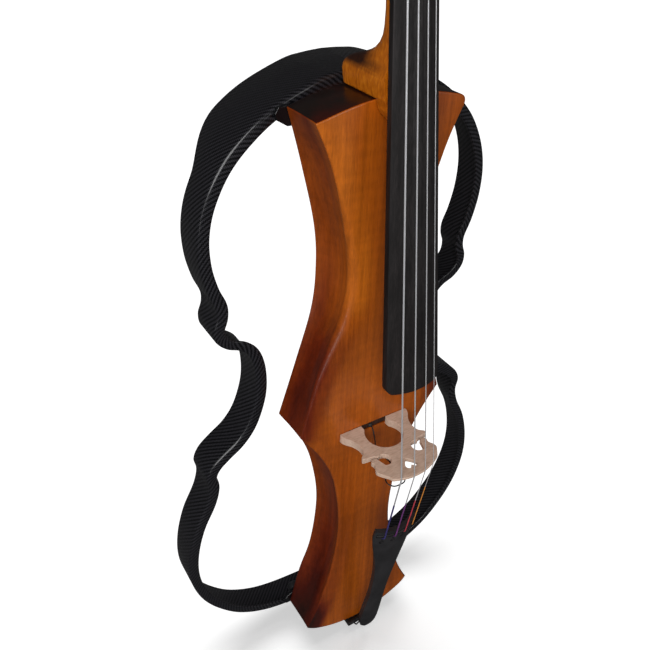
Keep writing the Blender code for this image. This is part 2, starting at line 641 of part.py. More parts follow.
def make_battery(cover_black, board_green, battery_grey):
    wide, deep, tall = BATTERY
    z = BODY_BASE + BATTERY_UP
    box("battery", (-wide / 2, BATTERY_FRONT, z - tall / 2), (wide / 2, BATTERY_FRONT + deep, z + tall / 2),
        battery_grey)
    half, half_tall = DOOR_HALF - GAP, DOOR_HALF_TALL - GAP
    outside = BODY_BACK + 0.4
    box("battery_door", (-half, BODY_BACK - 1.9, z - half_tall), (half, outside, z + half_tall), cover_black,
        (0, outside, z - half_tall))
    wide, thick, tall = BOARD
    middle = BODY_BASE + sum(CHAMBER_UP) / 2
    box("circuit_board", (-wide / 2, BOARD_FRONT, middle - tall / 2),
        (wide / 2, BOARD_FRONT + thick, middle + tall / 2), board_green)


def main():
    clear_scene()
    spruce = make_material("spruce_lacquer", (0.48, 0.19, 0.03), 0.3)
    maple = make_material("maple_lacquer", (0.28, 0.09, 0.025), 0.3)
    neck_maple = make_material("neck_maple", (0.52, 0.25, 0.05), 0.35)
    ebony = make_material("ebony", (0.02, 0.018, 0.018), 0.45)
    bridge_maple = make_material("bridge_maple", (0.72, 0.52, 0.38), 0.6)
    steel = make_material("string_steel", (0.45, 0.45, 0.46), 0.3, 1.0)
    carbon = make_material("carbon_weave", (0.012, 0.012, 0.014), 0.15)
    black = make_material("black_plastic", (0.015, 0.015, 0.016), 0.3)
    matte = make_material("matte_black", (0.028, 0.028, 0.032), 0.5)
    rubber = make_material("rubber", (0.01, 0.01, 0.01), 0.7)
    rosewood = make_material("rosewood", (0.07, 0.025, 0.012), 0.5)
    piezo = make_material("piezo", (0.6, 0.55, 0.4), 0.4)
    board = make_material("circuit_green", (0.02, 0.12, 0.04), 0.4)
    battery = make_material("battery_grey", (0.2, 0.2, 0.22), 0.4)
    nickel = make_material("nickel", (0.7, 0.7, 0.7), 0.25, 1.0)
    make_body(spruce, maple)
    make_neck(neck_maple)
    make_fingerboard(ebony)
    make_nut(ebony)
    make_pegs(ebony)
    make_bridge(bridge_maple)
    make_strings(steel)
    make_pickup(rosewood, rubber, piezo)
    make_tailpiece(matte, ebony)
    make_saddle(ebony)
    make_endpin(black, nickel, rubber)
    make_tailgut(black)
    make_wings(carbon, black)
    make_cover(matte)
    make_controls(nickel, black)
    make_battery(matte, board, battery)


main()
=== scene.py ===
"""The looks of the electric cello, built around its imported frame. Shapes are in millimetres and scaled by MM."""

from math import cos, exp, pi, radians, sin, sqrt

import bmesh
import bpy
from mathutils import Matrix, Vector


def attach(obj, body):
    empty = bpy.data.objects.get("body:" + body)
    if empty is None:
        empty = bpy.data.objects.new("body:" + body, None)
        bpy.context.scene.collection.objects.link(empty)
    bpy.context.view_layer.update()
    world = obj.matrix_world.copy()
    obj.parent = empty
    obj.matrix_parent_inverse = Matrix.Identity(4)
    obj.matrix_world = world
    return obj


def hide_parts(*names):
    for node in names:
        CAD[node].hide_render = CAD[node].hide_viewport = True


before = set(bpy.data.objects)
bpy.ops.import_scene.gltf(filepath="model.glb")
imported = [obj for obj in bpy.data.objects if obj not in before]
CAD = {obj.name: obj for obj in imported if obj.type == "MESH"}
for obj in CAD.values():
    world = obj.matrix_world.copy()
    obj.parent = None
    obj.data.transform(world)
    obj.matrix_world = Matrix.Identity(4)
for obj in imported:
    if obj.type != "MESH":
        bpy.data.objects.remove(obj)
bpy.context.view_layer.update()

MM = 0.001
BASE = 22.0  # height of the body's bottom centre, which every height named UP is measured from
FRONT, BACK = -27.0, 27.0  # the body's two faces
BRIDGE_UP, BOARD_END, NUT_UP = 380.0, 485.0, 1068.0
TIP_UP, CORNER_UP, FOOT_UP = 400.0, 759.0, 29.0
CORNER_HALF, FOOT_HALF = 84.0, 86.0
HEAD_TILT = radians(19.0)
NAMES = ("c", "g", "d", "a")
STRING_X = (-23.5, -8.0, 8.0, 23.5)
STRING_R = (0.9, 0.7, 0.55, 0.4)
NUT_SPREAD, TAIL_SPREAD = 22.0 / 47.0, 42.0 / 47.0
PEG_ALONG = (30.0, 74.0, 93.0, 50.0)
PEG_SIDE = (-1, -1, 1, 1)
PEG_DEPTH = 15.0


# Camera, light and floor

CAMERA_AIM, CAMERA_DISTANCE = Vector((-0.0678, -0.0223, 0.5667)), 0.7474
ROOM_GLOW, ROOM_MIRRORED = 0.13, 0.04  # the dim room's strength, and what gloss sees of it
FLOOR_GLOW, FLOOR_MIRRORED = 0.55, 0.04
FLOOR_REACH = 6


def place_camera():
    azimuth, elevation, roll = radians(-32.18), radians(34.84), radians(1.45)
    back = Vector((sin(azimuth) * cos(elevation), -cos(azimuth) * cos(elevation), sin(elevation)))
    right = Vector((cos(azimuth), sin(azimuth), 0))
    up = back.cross(right)
    across = right * cos(roll) + up * sin(roll)
    above = up * cos(roll) - right * sin(roll)
    place = CAMERA_AIM + back * CAMERA_DISTANCE
    data = bpy.data.cameras.new("camera")
    data.lens, data.sensor_width = 40.36, 36.0
    data.clip_start = 0.01
    camera = bpy.data.objects.new("camera", data)
    turn = Matrix((across, above, back)).transposed().to_4x4()
    camera.matrix_world = Matrix.Translation(place) @ turn
    bpy.context.scene.collection.objects.link(camera)
    bpy.context.scene.camera = camera


def area_light(name, place, target, size, power):
    data = bpy.data.lights.new(name, "AREA")
    data.shape = "RECTANGLE"
    data.size, data.size_y = size
    data.energy = power
    light = bpy.data.objects.new(name, data)
    light.location = place
    direction = Vector(target) - Vector(place)
    light.rotation_euler = direction.to_track_quat("-Z", "Y").to_euler()
    bpy.context.scene.collection.objects.link(light)
    return light


def light_scene():
    scene = bpy.context.scene
    scene.view_settings.view_transform = "Standard"
    world = bpy.data.worlds.new("studio")
    scene.world = world
    world.use_nodes = True
    nodes, links = world.node_tree.nodes, world.node_tree.links
    # A dim room round the object, and plain white behind it
    dim = nodes["Background"]
    dim.inputs["Color"].default_value = (1, 1, 1, 1)
    white = nodes.new("ShaderNodeBackground")
    white.inputs["Color"].default_value = (1, 1, 1, 1)
    white.inputs["Strength"].default_value = 1.0
    path = nodes.new("ShaderNodeLightPath")
    fade = nodes.new("ShaderNodeMath")
    fade.operation = "MULTIPLY_ADD"
    fade.inputs[1].default_value = ROOM_MIRRORED - ROOM_GLOW
    fade.inputs[2].default_value = ROOM_GLOW
    links.new(path.outputs["Is Glossy Ray"], fade.inputs[0])
    links.new(fade.outputs[0], dim.inputs["Strength"])
    mix = nodes.new("ShaderNodeMixShader")
    links.new(path.outputs["Is Camera Ray"], mix.inputs[0])
    links.new(dim.outputs[0], mix.inputs[1])
    links.new(white.outputs[0], mix.inputs[2])
    links.new(mix.outputs[0], nodes["World Output"].inputs["Surface"])
    middle = (0, 0, 0.6)
    mirrored = [area_light("key", (-1.8, -2.0, 1.95), middle, (1.9, 1.9), 84),
                area_light("fill", (1.2, -2.4, 1.1), middle, (1.4, 1.4), 16),
                area_light("strip", (-2.2, -1.2, 0.8), middle, (0.2, 1.6), 3.5)]
    unmirrored = [area_light("back", (0.9, 2.9, 0.75), middle, (1.5, 1.2), 46),
                  area_light("right", (3.0, 0.2, 0.8), middle, (1.0, 1.4), 26)]
    for light in unmirrored:
        light.visible_glossy = False
    bm = bmesh.new()
    for x, y in ((-1, -1), (1, -1), (1, 1), (-1, 1)):
        bm.verts.new((x * FLOOR_REACH, y * FLOOR_REACH, 0))
    bm.faces.new(bm.verts)
    mesh = bpy.data.meshes.new("floor")
    bm.to_mesh(mesh)
    bm.free()
    floor = bpy.data.objects.new("floor", mesh)
    floor.visible_diffuse = False
    scene.collection.objects.link(floor)
    paint = bpy.data.materials.new("floor_paint")
    paint.use_nodes = True
    nodes, links = paint.node_tree.nodes, paint.node_tree.links
    shader = nodes["Principled BSDF"]
    shader.inputs["Base Color"].default_value = (0.8, 0.8, 0.8, 1)
    shader.inputs["Roughness"].default_value = 0.9
    shader.inputs["Specular IOR Level"].default_value = 0.0
    shader.inputs["Emission Color"].default_value = (1, 1, 1, 1)
    shader.inputs["Emission Strength"].default_value = FLOOR_GLOW
    # Glossy surfaces see a dimmer floor
    dimmed = nodes.new("ShaderNodeEmission")
    dimmed.inputs["Strength"].default_value = FLOOR_MIRRORED
    path = nodes.new("ShaderNodeLightPath")
    mix = nodes.new("ShaderNodeMixShader")
    links.new(path.outputs["Is Glossy Ray"], mix.inputs[0])
    links.new(shader.outputs[0], mix.inputs[1])
    links.new(dimmed.outputs[0], mix.inputs[2])
    links.new(mix.outputs[0], nodes["Material Output"].inputs["Surface"])
    mesh.materials.append(paint)
    # A wide soft light from overhead that reaches only the floor, and leaves a faint shadow there
    data = bpy.data.lights.new("floor_light", "SUN")
    data.angle = radians(45)
    data.energy = 2.1
    overhead = bpy.data.objects.new("floor_light", data)
    overhead.rotation_euler = (radians(-14), radians(4), 0)
    scene.collection.objects.link(overhead)
    receivers = bpy.data.collections.new("floor_only")
    receivers.objects.link(floor)
    overhead.light_linking.receiver_collection = receivers
    others = bpy.data.collections.new("all_but_floor")
    others.objects.link(floor)
    others.collection_objects[0].light_linking.link_state = "EXCLUDE"
    for light in mirrored + unmirrored:
        light.light_linking.receiver_collection = others


# Materials

class Shader:
    """Builds one material's nodes; every helper returns an output socket."""

    def __init__(self, name, roughness, metallic=0.0, coat=0.0, coat_roughness=0.05, specular=0.5):
        self.material = bpy.data.materials.new(name)
        self.material.use_nodes = True
        self.nodes = self.material.node_tree.nodes
        self.links = self.material.node_tree.links
        self.out = self.nodes["Principled BSDF"]
        self.out.inputs["Roughness"].default_value = roughness
        self.out.inputs["Metallic"].default_value = metallic
        self.out.inputs["Coat Weight"].default_value = coat
        self.out.inputs["Coat Roughness"].default_value = coat_roughness
        self.out.inputs["Specular IOR Level"].default_value = specular

    def new(self, kind, **values):
        node = self.nodes.new(kind)
        for key, value in values.items():
            setattr(node, key, value)
        return node

    def feed(self, socket, value):
        if isinstance(value, bpy.types.NodeSocket):
            self.links.new(value, socket)
        elif value is not None:
            socket.default_value = value

    def place(self, scale=(1, 1, 1)):
        """Object coordinates in metres, scaled."""
        texture = self.new("ShaderNodeTexCoord")
        mapping = self.new("ShaderNodeMapping")
        mapping.inputs["Scale"].default_value = scale
        self.links.new(texture.outputs["Object"], mapping.inputs["Vector"])
        return mapping.outputs[0]

    def noise(self, scale, detail):
        """Noise at one scale, or at one for each axis."""
        even = not isinstance(scale, tuple)
        node = self.new("ShaderNodeTexNoise")
        node.inputs["Scale"].default_value = scale if even else 1.0
        node.inputs["Detail"].default_value = detail
        node.inputs["Roughness"].default_value = 0.55
        self.links.new(self.place() if even else self.place(scale), node.inputs["Vector"])
        return node.outputs["Fac"]

    def math(self, operation, a, b=None, c=None, clamp=False):
        node = self.new("ShaderNodeMath", operation=operation, use_clamp=clamp)
        for socket, value in zip(node.inputs, (a, b, c)):
            self.feed(socket, value)
        return node.outputs[0]

    def ramp(self, value, stops):
        node = self.new("ShaderNodeValToRGB")
        elements = node.color_ramp.elements
        while len(elements) < len(stops):
            elements.new(0.5)
        for element, (position, colour) in zip(elements, stops):
            element.position = position
            element.color = (*colour, 1) if hasattr(colour, "__len__") else (colour, colour, colour, 1)
        self.feed(node.inputs[0], value)
        return node.outputs[0]

    def mix(self, share, a, b, blend="MIX"):
        node = self.new("ShaderNodeMix", data_type="RGBA", blend_type=blend)
        node.clamp_factor = True
        self.feed(node.inputs[0], share)
        for socket, value in ((node.inputs[6], a), (node.inputs[7], b)):
            if isinstance(value, tuple) and len(value) == 3:
                value = (*value, 1)
            self.feed(socket, value)
        return node.outputs[2]

    def blend(self, share, a, b):
        """Two values added, with this share of the first."""
        return self.math("ADD", self.math("MULTIPLY", a, share), self.math("MULTIPLY", b, 1 - share))

    def attribute(self, name):
        return self.new("ShaderNodeAttribute", attribute_name=name).outputs["Fac"]

    def colour(self, value):
        self.links.new(value, self.out.inputs["Base Color"])

    def roughen(self, value):
        self.links.new(value, self.out.inputs["Roughness"])

    def bump(self, height, distance, strength):
        node = self.new("ShaderNodeBump")
        node.inputs["Strength"].default_value = strength
        node.inputs["Distance"].default_value = distance
        self.links.new(height, node.inputs["Height"])
        self.links.new(node.outputs[0], self.out.inputs["Normal"])


def body_wood():
    """Stained and lacquered wood: grain up the body, from pale to nearly black as its attribute rises. The attribute is
    the real stain with painted light in it: its lowest values paint a sheen, and raised values paint shade on the end
    faces (partly their dark stain), in the side's hollow and on the treble side's top.
    """
    s = Shader("body_wood", 0.34, coat=0.45, coat_roughness=0.2, specular=0.3)
    speck = s.noise((900, 900, 110), 2)
    lines = s.noise((270, 270, 2.2), 3)
    broad = s.noise((45, 45, 2.5), 2)
    cross = s.noise((30, 30, 120), 2)
    wobble = s.math("MULTIPLY_ADD", s.math("SUBTRACT", broad, 0.5), 0.45, s.attribute("stain"))
    level = s.math("MULTIPLY_ADD", wobble, 1 / 1.9, 0.4 / 1.9, clamp=True)
    # The palest stop is a painted sheen; the near-black last stop is the end faces' dark stain deepened by painted
    # shade.
    tone = s.ramp(level, ((0.0, (0.68, 0.172, 0.008)), (0.21, (0.46, 0.096, 0.0028)), (0.47, (0.27, 0.046, 0.0016)),
                          (0.61, (0.165, 0.018, 0.0014)), (0.74, (0.070, 0.006, 0.0014)), (0.95, (0.014, 0.006, 0.004))))
    grain = s.blend(0.6, lines, speck)
    tone = s.mix(1.0, tone, s.ramp(grain, ((0.30, 0.56), (0.5, 0.80), (0.68, 1.0))), "MULTIPLY")
    s.colour(s.mix(0.5, tone, s.mix(1.0, tone, s.ramp(cross, ((0.35, 0.78), (0.65, 1.0))), "MULTIPLY")))
    s.roughen(s.ramp(grain, ((0.2, 0.32), (0.8, 0.42))))
    s.bump(lines, 0.00005, 0.3)
    return s.material


def neck_wood():
    """Golden figured maple with short flecks."""
    s = Shader("neck_wood", 0.4, coat=0.2, coat_roughness=0.2, specular=0.25)
    fleck = s.noise((420, 420, 130), 2)
    broad = s.noise((50, 50, 7), 3)
    flame = s.noise((12, 12, 95), 1)
    grain = s.blend(0.6, fleck, broad)
    light = s.ramp(grain, ((0.34, (0.24, 0.05, 0.001)), (0.5, (0.43, 0.105, 0.002)), (0.68, (0.62, 0.19, 0.009))))
    figured = s.mix(s.math("MULTIPLY", flame, 0.3), light, (0.52, 0.15, 0.005))
    # The dark colour of the heel's top: partly stain, partly painted shade.
    dark = s.ramp(grain, ((0.3, (0.016, 0.005, 0.003)), (0.7, (0.032, 0.010, 0.004))))
    s.colour(s.mix(s.attribute("stain"), figured, dark))
    s.bump(fleck, 0.00006, 0.3)
    return s.material


def dark_wood(name, base, roughness=0.42, specular=0.5):
    """Ebony or rosewood: long pores and slightly browner streaks."""
    s = Shader(name, roughness, specular=specular)
    pores = s.noise((900, 900, 22), 3)
    streak = s.noise((120, 120, 3), 3)
    tone = s.blend(0.5, pores, streak)
    low = tuple(v * 0.45 for v in base)
    high = tuple(v * 2.1 for v in base)
    s.colour(s.ramp(tone, ((0.34, low), (0.5, base), (0.68, high))))
    s.roughen(s.ramp(pores, ((0.3, roughness + 0.12), (0.7, roughness - 0.06))))
    s.bump(pores, 0.00012, 0.4)
    return s.material


def bare_maple():
    """Unlacquered bridge maple: pale, with short medullary flecks across the face."""
    s = Shader("bare_maple", 0.55)
    fleck = s.noise((140, 700, 700), 2)
    broad = s.noise((60, 60, 60), 2)
    tone = s.blend(0.65, fleck, broad)
    s.colour(s.ramp(tone, ((0.32, (0.43, 0.285, 0.205)), (0.5, (0.55, 0.385, 0.29)), (0.7, (0.63, 0.455, 0.36)))))
    s.bump(fleck, 0.0001, 0.4)
    return s.material


def carbon_twill():
    """Lacquered 2x2 twill: two attributes hold the distances along and across the strip in tows."""
    s = Shader("carbon_twill", 0.34, coat=0.5, coat_roughness=0.06, specular=0.15)
    u, v = s.attribute("weave_along"), s.attribute("weave_across")
    step = s.math("FLOORED_MODULO", s.math("ADD", s.math("FLOOR", u), s.math("FLOOR", v)), 4.0)
    over = s.math("LESS_THAN", step, 1.5)

    def hill(value):
        """A tow's rounded top: 0 at its edges and 1 in its middle."""
        off = s.math("ABSOLUTE", s.math("SUBTRACT", s.math("FRACT", value), 0.5))
        return s.math("SUBTRACT", 1.0, s.math("MULTIPLY", s.math("MULTIPLY", off, off), 4.0))

    hill_u, hill_v = hill(u), hill(v)
    mixed = s.new("ShaderNodeMix", data_type="FLOAT")
    s.feed(mixed.inputs[0], over)
    s.feed(mixed.inputs[2], hill_v)
    s.feed(mixed.inputs[3], hill_u)
    strands = s.noise((300, 300, 300), 2)
    # Painted sheen: the tows along the strip are lighter than those across, and each tow is lightest on its rounded
    # top, standing in for the fibres' reflection.
    warp = s.mix(hill_u, (0.004, 0.004, 0.005), (0.030, 0.029, 0.034))
    weft = s.mix(hill_v, (0.001, 0.001, 0.0015), (0.003, 0.003, 0.004))
    s.colour(s.mix(over, weft, warp))
    s.roughen(s.ramp(strands, ((0.3, 0.30), (0.7, 0.42))))
    s.bump(mixed.outputs[0], 0.00012, 0.5)
    return s.material


def moulded(name, base, roughness, coat=0.0, grain=0.00003, specular=0.5):
    """A moulded plastic or rubber with a fine pebble and faint unevenness of shade."""
    s = Shader(name, roughness, coat=coat, specular=specular)
    pebble = s.noise(2600.0, 2)
    cloud = s.noise(45.0, 2)
    low = tuple(v * 0.8 for v in base)
    high = tuple(v * 1.25 for v in base)
    s.colour(s.ramp(cloud, ((0.35, low), (0.65, high))))
    s.roughen(s.ramp(pebble, ((0.3, max(0.02, roughness - 0.05)), (0.7, min(1.0, roughness + 0.06)))))
    s.bump(pebble, grain, 0.5)
    return s.material


def metal(name, base, roughness, scale=(900, 900, 40)):
    s = Shader(name, roughness, metallic=1.0)
    brush = s.noise(scale, 2)
    s.colour(s.ramp(brush, ((0.3, tuple(v * 0.85 for v in base)), (0.7, base))))
    s.roughen(s.ramp(brush, ((0.3, roughness - 0.05), (0.7, roughness + 0.08))))
    s.bump(brush, 0.00002, 0.3)
    return s.material


def wound(name, base, pitch, metallic=1.0, roughness=0.35):
    """A string's winding: fine rings along its length."""
    s = Shader(name, roughness, metallic=metallic)
    split = s.new("ShaderNodeSeparateXYZ")
    s.links.new(s.place(), split.inputs[0])
    wave = s.math("SINE", s.math("MULTIPLY", split.outputs[2], 2 * pi / (pitch * MM)))
    tone = s.math("MULTIPLY_ADD", wave, 0.5, 0.5)
    # Painted shade: darker between the rings, in the grooves of the winding.
    s.colour(s.ramp(tone, ((0.0, tuple(v * 0.45 for v in base)), (0.8, base))))
    s.bump(tone, 0.00006, 0.6)
    return s.material


M = {}


def make_materials():
    M["body"] = body_wood()
    M["neck"] = neck_wood()
    M["ebony"] = dark_wood("ebony_wood", (0.0105, 0.0088, 0.0088), 0.46, 0.25)
    M["rosewood"] = dark_wood("rosewood_bar", (0.035, 0.012, 0.006), 0.45)
    M["maple"] = bare_maple()
    M["carbon"] = carbon_twill()
    M["gloss"] = moulded("gloss_black", (0.005, 0.005, 0.006), 0.14, coat=0.5, specular=0.3)
    M["matte"] = moulded("matte_black_shell", (0.020, 0.0190, 0.0205), 0.45, grain=0.00006, specular=0.35)
    M["knob"] = moulded("knob_black", (0.012, 0.012, 0.013), 0.32)
    M["rubber"] = moulded("soft_rubber", (0.012, 0.012, 0.012), 0.65, grain=0.00005)
    M["lead"] = moulded("lead_jacket", (0.010, 0.010, 0.011), 0.38)
    M["piezo"] = moulded("sensor_shell", (0.30, 0.26, 0.17), 0.4)
    M["board"] = moulded("circuit_mask", (0.012, 0.09, 0.03), 0.3, coat=0.3)
    M["battery"] = moulded("battery_can", (0.13, 0.13, 0.14), 0.3, coat=0.4)
    M["nickel"] = metal("nickel_plate", (0.70, 0.69, 0.66), 0.22)
    M["ball"] = metal("ball_brass", (0.16, 0.13, 0.09), 0.4)
    M["steel_rod"] = metal("steel_rod", (0.62, 0.63, 0.65), 0.2, (1200, 1200, 15))
    M["string"] = wound("string_winding", (0.88, 0.88, 0.90), 0.9, 0.55)
    M["silk_c"] = wound("silk_navy", (0.035, 0.024, 0.16), 0.8, 0.0, 0.7)
    M["silk_g"] = wound("silk_purple", (0.16, 0.028, 0.19), 0.8, 0.0, 0.7)
    M["silk_d"] = wound("silk_rose", (0.62, 0.04, 0.07), 0.8, 0.0, 0.7)
    M["silk_a"] = wound("silk_amber", (0.85, 0.30, 0.03), 0.8, 0.0, 0.7)


# Mesh helpers

def shade(mesh, smooth):
    """Smooth shading, with the edges sharper than this many degrees kept sharp."""
    mesh.shade_smooth()
    mesh.set_sharp_from_angle(angle=radians(smooth))


def add(name, points, faces, material, body, nodes=(), slot=None, smooth=35, attributes=None):
    """A mesh piece from millimetre points, riding on a body and standing for CAD nodes."""
    mesh = bpy.data.meshes.new(name)
    mesh.from_pydata([tuple(Vector(p) * MM) for p in points], [], faces)
    bm = bmesh.new()
    bm.from_mesh(mesh)
    bmesh.ops.recalc_face_normals(bm, faces=bm.faces)
    bm.to_mesh(mesh)
    bm.free()
    for key, values in (attributes or {}).items():
        mesh.attributes.new(key, "FLOAT", "POINT").data.foreach_set("value", values)
    mesh.materials.append(material)
    shade(mesh, smooth)
    obj = bpy.data.objects.new(name, mesh)
    bpy.context.scene.collection.objects.link(obj)
    if body:
        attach(obj, body)
    if nodes:
        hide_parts(*nodes)
    return obj


def grid_faces(rows, count, loop=False, caps=True):
    """Faces of a lofted grid: rows of count points each, closed round and perhaps end to end (loop)."""
    faces = []
    for r in range(rows if loop else rows - 1):
        for i in range(count):
            j = (i + 1) % count
            a, b = r * count, ((r + 1) % rows) * count
            faces.append((a + i, a + j, b + j, b + i))
    if caps and not loop:
        faces.append(tuple(range(count)))
        faces.append(tuple(range((rows - 1) * count, rows * count)))
    return faces


def loft(name, loops, material, body, **more):
    points = [p for loop in loops for p in loop]
    closed = more.pop("loop", False)
    return add(name, points, grid_faces(len(loops), len(loops[0]), loop=closed), material, body, **more)


def spline(points, steps):
    points = [Vector((*point, 0, 0)[:3]) for point in points]
    ends = [2 * points[0] - points[1], *points, 2 * points[-1] - points[-2]]
    curve = []
    for before, start, stop, after in zip(ends, ends[1:], ends[2:], ends[3:]):
        for step in range(steps):
            t = step / steps
            curve.append(0.5 * (2 * start + (stop - before) * t
                                + (2 * before - 5 * start + 4 * stop - after) * t * t
                                + (3 * start - before - 3 * stop + after) * t ** 3))
    return curve + [points[-1]]


def flat_spline(points, steps):
    return [tuple(p[:2]) for p in spline(points, steps)]


def along(table, height):
    """The value at this height in a table of (height, value) pairs, straight between them."""
    for (low, first), (high, second) in zip(table, table[1:]):
        if height <= high:
            return first + (second - first) * max(0.0, height - low) / (high - low)
    return table[-1][1]


def ease(table, height):
    """As along, but smooth at each step of the table."""
    for (low, first), (high, second) in zip(table, table[1:]):
        if height <= high:
            t = max(0.0, height - low) / (high - low)
            return first + (second - first) * t * t * (3 - 2 * t)
    return table[-1][1]


def axis_frame(centre, axis):
    return Matrix.Translation(centre) @ Vector((0, 0, 1)).rotation_difference(Vector(axis)).to_matrix().to_4x4()


def turned(name, profile, centre, axis, material, body, segments=40, ring=False, flute=None, **more):
    """A turned piece from (radius, distance) pairs; flute(angle, row) scales each point's radius."""
    place = axis_frame(centre, axis)
    loops = []
    for row, (radius, distance) in enumerate(profile):
        loop = []
        for k in range(segments):
            angle = 2 * pi * k / segments
            r = radius * (flute(angle, row) if flute else 1.0)
            loop.append(place @ Vector((r * cos(angle), r * sin(angle), distance)))
        loops.append(loop)
    return loft(name, loops, material, body, loop=ring, **more)


def tube(name, points, radius, material, body, segments=12, **more):
    """A round tube along points, with parallel-carried rings."""
    points = [Vector(p) for p in points]
    tangents = [(b - a).normalized() for a, b in zip([points[0]] + points[:-1], points[1:] + [points[-1]])]
    side = tangents[0].orthogonal().normalized()
    loops = []
    for point, tangent in zip(points, tangents):
        side = (side - tangent * side.dot(tangent)).normalized()
        other = tangent.cross(side)
        loops.append([point + side * (radius * cos(2 * pi * k / segments))
                      + other * (radius * sin(2 * pi * k / segments)) for k in range(segments)])
    return loft(name, loops, material, body, **more)


def boolean(obj, other):
    """Cuts a helper out of a piece and removes the helper."""
    modifier = obj.modifiers.new("cut", "BOOLEAN")
    modifier.operation = "DIFFERENCE"
    modifier.solver = "EXACT"
    modifier.object = other
    graph = bpy.context.evaluated_depsgraph_get()
    mesh = bpy.data.meshes.new_from_object(obj.evaluated_get(graph))
    obj.modifiers.clear()
    old = obj.data
    obj.data = mesh
    bpy.data.objects.remove(other)
    bpy.data.meshes.remove(old)


def bevel(obj, width, segments, angle=30):
    modifier = obj.modifiers.new("edges", "BEVEL")
    modifier.width = width * MM
    modifier.segments = segments
    modifier.limit_method = "ANGLE"
    modifier.angle_limit = radians(angle)


def helper_box(low, high):
    (x0, y0, z0), (x1, y1, z1) = low, high
    loops = [[(x0, y0, z), (x1, y0, z), (x1, y1, z), (x0, y1, z)] for z in (z0, z1)]
    return loft("helper", loops, M["gloss"], None)


def helper_drum(radius, centre, axis, length, segments=32):
    return turned("helper", ((radius, 0), (radius, length)), centre, axis, M["gloss"], None, segments)


def copy_node(name, node, material, body, width, segments):
    """A bevelled copy of a CAD node, which it replaces."""
    mesh = CAD[node].data.copy()
    mesh.materials.clear()
    mesh.materials.append(material)
    obj = bpy.data.objects.new(name, mesh)
    bpy.context.scene.collection.objects.link(obj)
    bm = bmesh.new()
    bm.from_mesh(mesh)
    bmesh.ops.remove_doubles(bm, verts=bm.verts, dist=0.00001)
    bmesh.ops.dissolve_limit(bm, angle_limit=radians(1.0), verts=bm.verts, edges=bm.edges)
    bm.to_mesh(mesh)
    bm.free()
    shade(mesh, 30)
    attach(obj, body)
    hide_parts(node)
    bevel(obj, width, segments)


# Body

UPPER_FRONT = ((CORNER_HALF, CORNER_UP), (64, 708), (46, 642), (38.5, 585), (47, 538), (74, 477), (97, TIP_UP))
UPPER_BACK = ((CORNER_HALF, CORNER_UP), (68, 697), (54.5, 638), (51, 590), (56, 535), (76, 468), (98, TIP_UP))
LOWER_FRONT = ((97, TIP_UP), (69, 355), (49.5, 303), (40, 219), (48, 143), (64.5, 85), (FOOT_HALF, FOOT_UP))
LOWER_BACK = ((98, TIP_UP), (66, 341), (51, 288), (44.5, 225), (53, 148), (71, 95), (FOOT_HALF, FOOT_UP))


def half_table(upper, lower):
    """(up, half-width) from the bottom corner to the top one."""
    right = spline(upper, 12) + spline(lower, 12)[1:]
    return [(p.y, p.x) for p in reversed(right)]


HALF_FRONT = half_table(UPPER_FRONT, LOWER_FRONT)
HALF_BACK = half_table(UPPER_BACK, LOWER_BACK)

# Tables by height. The shape's: how far the belly's edge falls and over what width, the edge's rounding, the side's
# hollow, and the band's hollow beside the strings. The colour's: how dark the belly's edge is, by its stain, where the
# negative values of the upper belly paint a pale sheen band along its edge; how dark the side is; how much of the
# side's stain its front edge has, where negative values paint a highlight on the rounded edge; and how far back on the
# side, as a share of its depth, it is full (VALLEY), where painted shade darkens the side's hollow a little past its
# stain.
EDGE_DROP = ((29, 2.0), (150, 3.0), (330, 3.0), (385, 3.6), (400, 3.0), (430, 3.6), (500, 5.0), (585, 3.5), (640, 2.4),
             (759, 1.6))
DROP_WIDTH = ((29, 16), (150, 22), (330, 22), (400, 26), (500, 27), (585, 25), (700, 20), (759, 16))
CORNER_ROUND = ((29, 1.2), (150, 2.5), (330, 2.0), (400, 1.2), (420, 2.5), (460, 5.0), (500, 8.0), (540, 11.0),
                (590, 11.0), (640, 8.0), (700, 2.5), (759, 1.0))
SCOOP = ((29, 0.5), (90, 5.0), (220, 8.0), (340, 7.0), (392, 1.5), (400, 0.6), (410, 1.5), (480, 5.0), (590, 7.0),
         (700, 4.5), (759, 0.8))
BAND_DIP = ((29, 0.0), (60, 0.0), (100, 1.0), (200, 1.3), (310, 1.1), (365, 0.0), (759, 0.0))
BELLY_STAIN_AND_SHEEN = ((29, 1.3), (48, 1.3), (100, 0.55), (148, 0.4), (268, 0.15), (330, 0.2), (380, 0.15), (400, 0.8),
               (417, 0.85), (450, 0.8), (480, 0.75), (505, 0.5), (535, 0.0), (560, -0.3), (604, -0.3), (666, -0.2),
               (728, -0.25), (759, -0.25))
SIDE_STAIN = ((29, 1.2), (60, 1.1), (100, 0.9), (148, 0.75), (268, 0.6), (330, 0.6), (385, 0.5), (400, 0.78),
              (430, 0.82), (480, 0.75), (542, 0.55), (604, 0.36), (666, 0.4), (728, 0.5), (759, 0.6))
SIDE_FRONT_SHARE_AND_SHEEN = ((29, 0.8), (330, 0.5), (400, 0.9), (450, 1.1), (505, 1.1), (535, 0.5), (570, -0.3), (620, -0.3),
              (666, -0.2), (759, -0.1))
VALLEY = ((29, 0.4), (400, 0.4), (480, 0.6), (542, 0.85), (604, 0.7), (666, 0.5), (759, 0.4))
SHARES = (0.0, 0.12, 0.24, 0.36, 0.46, 0.55, 0.63, 0.70, 0.76, 0.81, 0.855, 0.895, 0.93, 0.965, 1.0)
CREASE = 0.36  # where the side's crease runs, as a share of its depth from the front
BACK_ROUND, TREBLE_ROUND = 1.6, 9.0  # the back edge's rounding, and the treble side's top corner's
TOP_CURVE, FOOT_CURVE = 640, 150  # heights beyond which the body's rows curve towards its crowned ends
TOP_CROWN, FOOT_CROWN = 14, 29


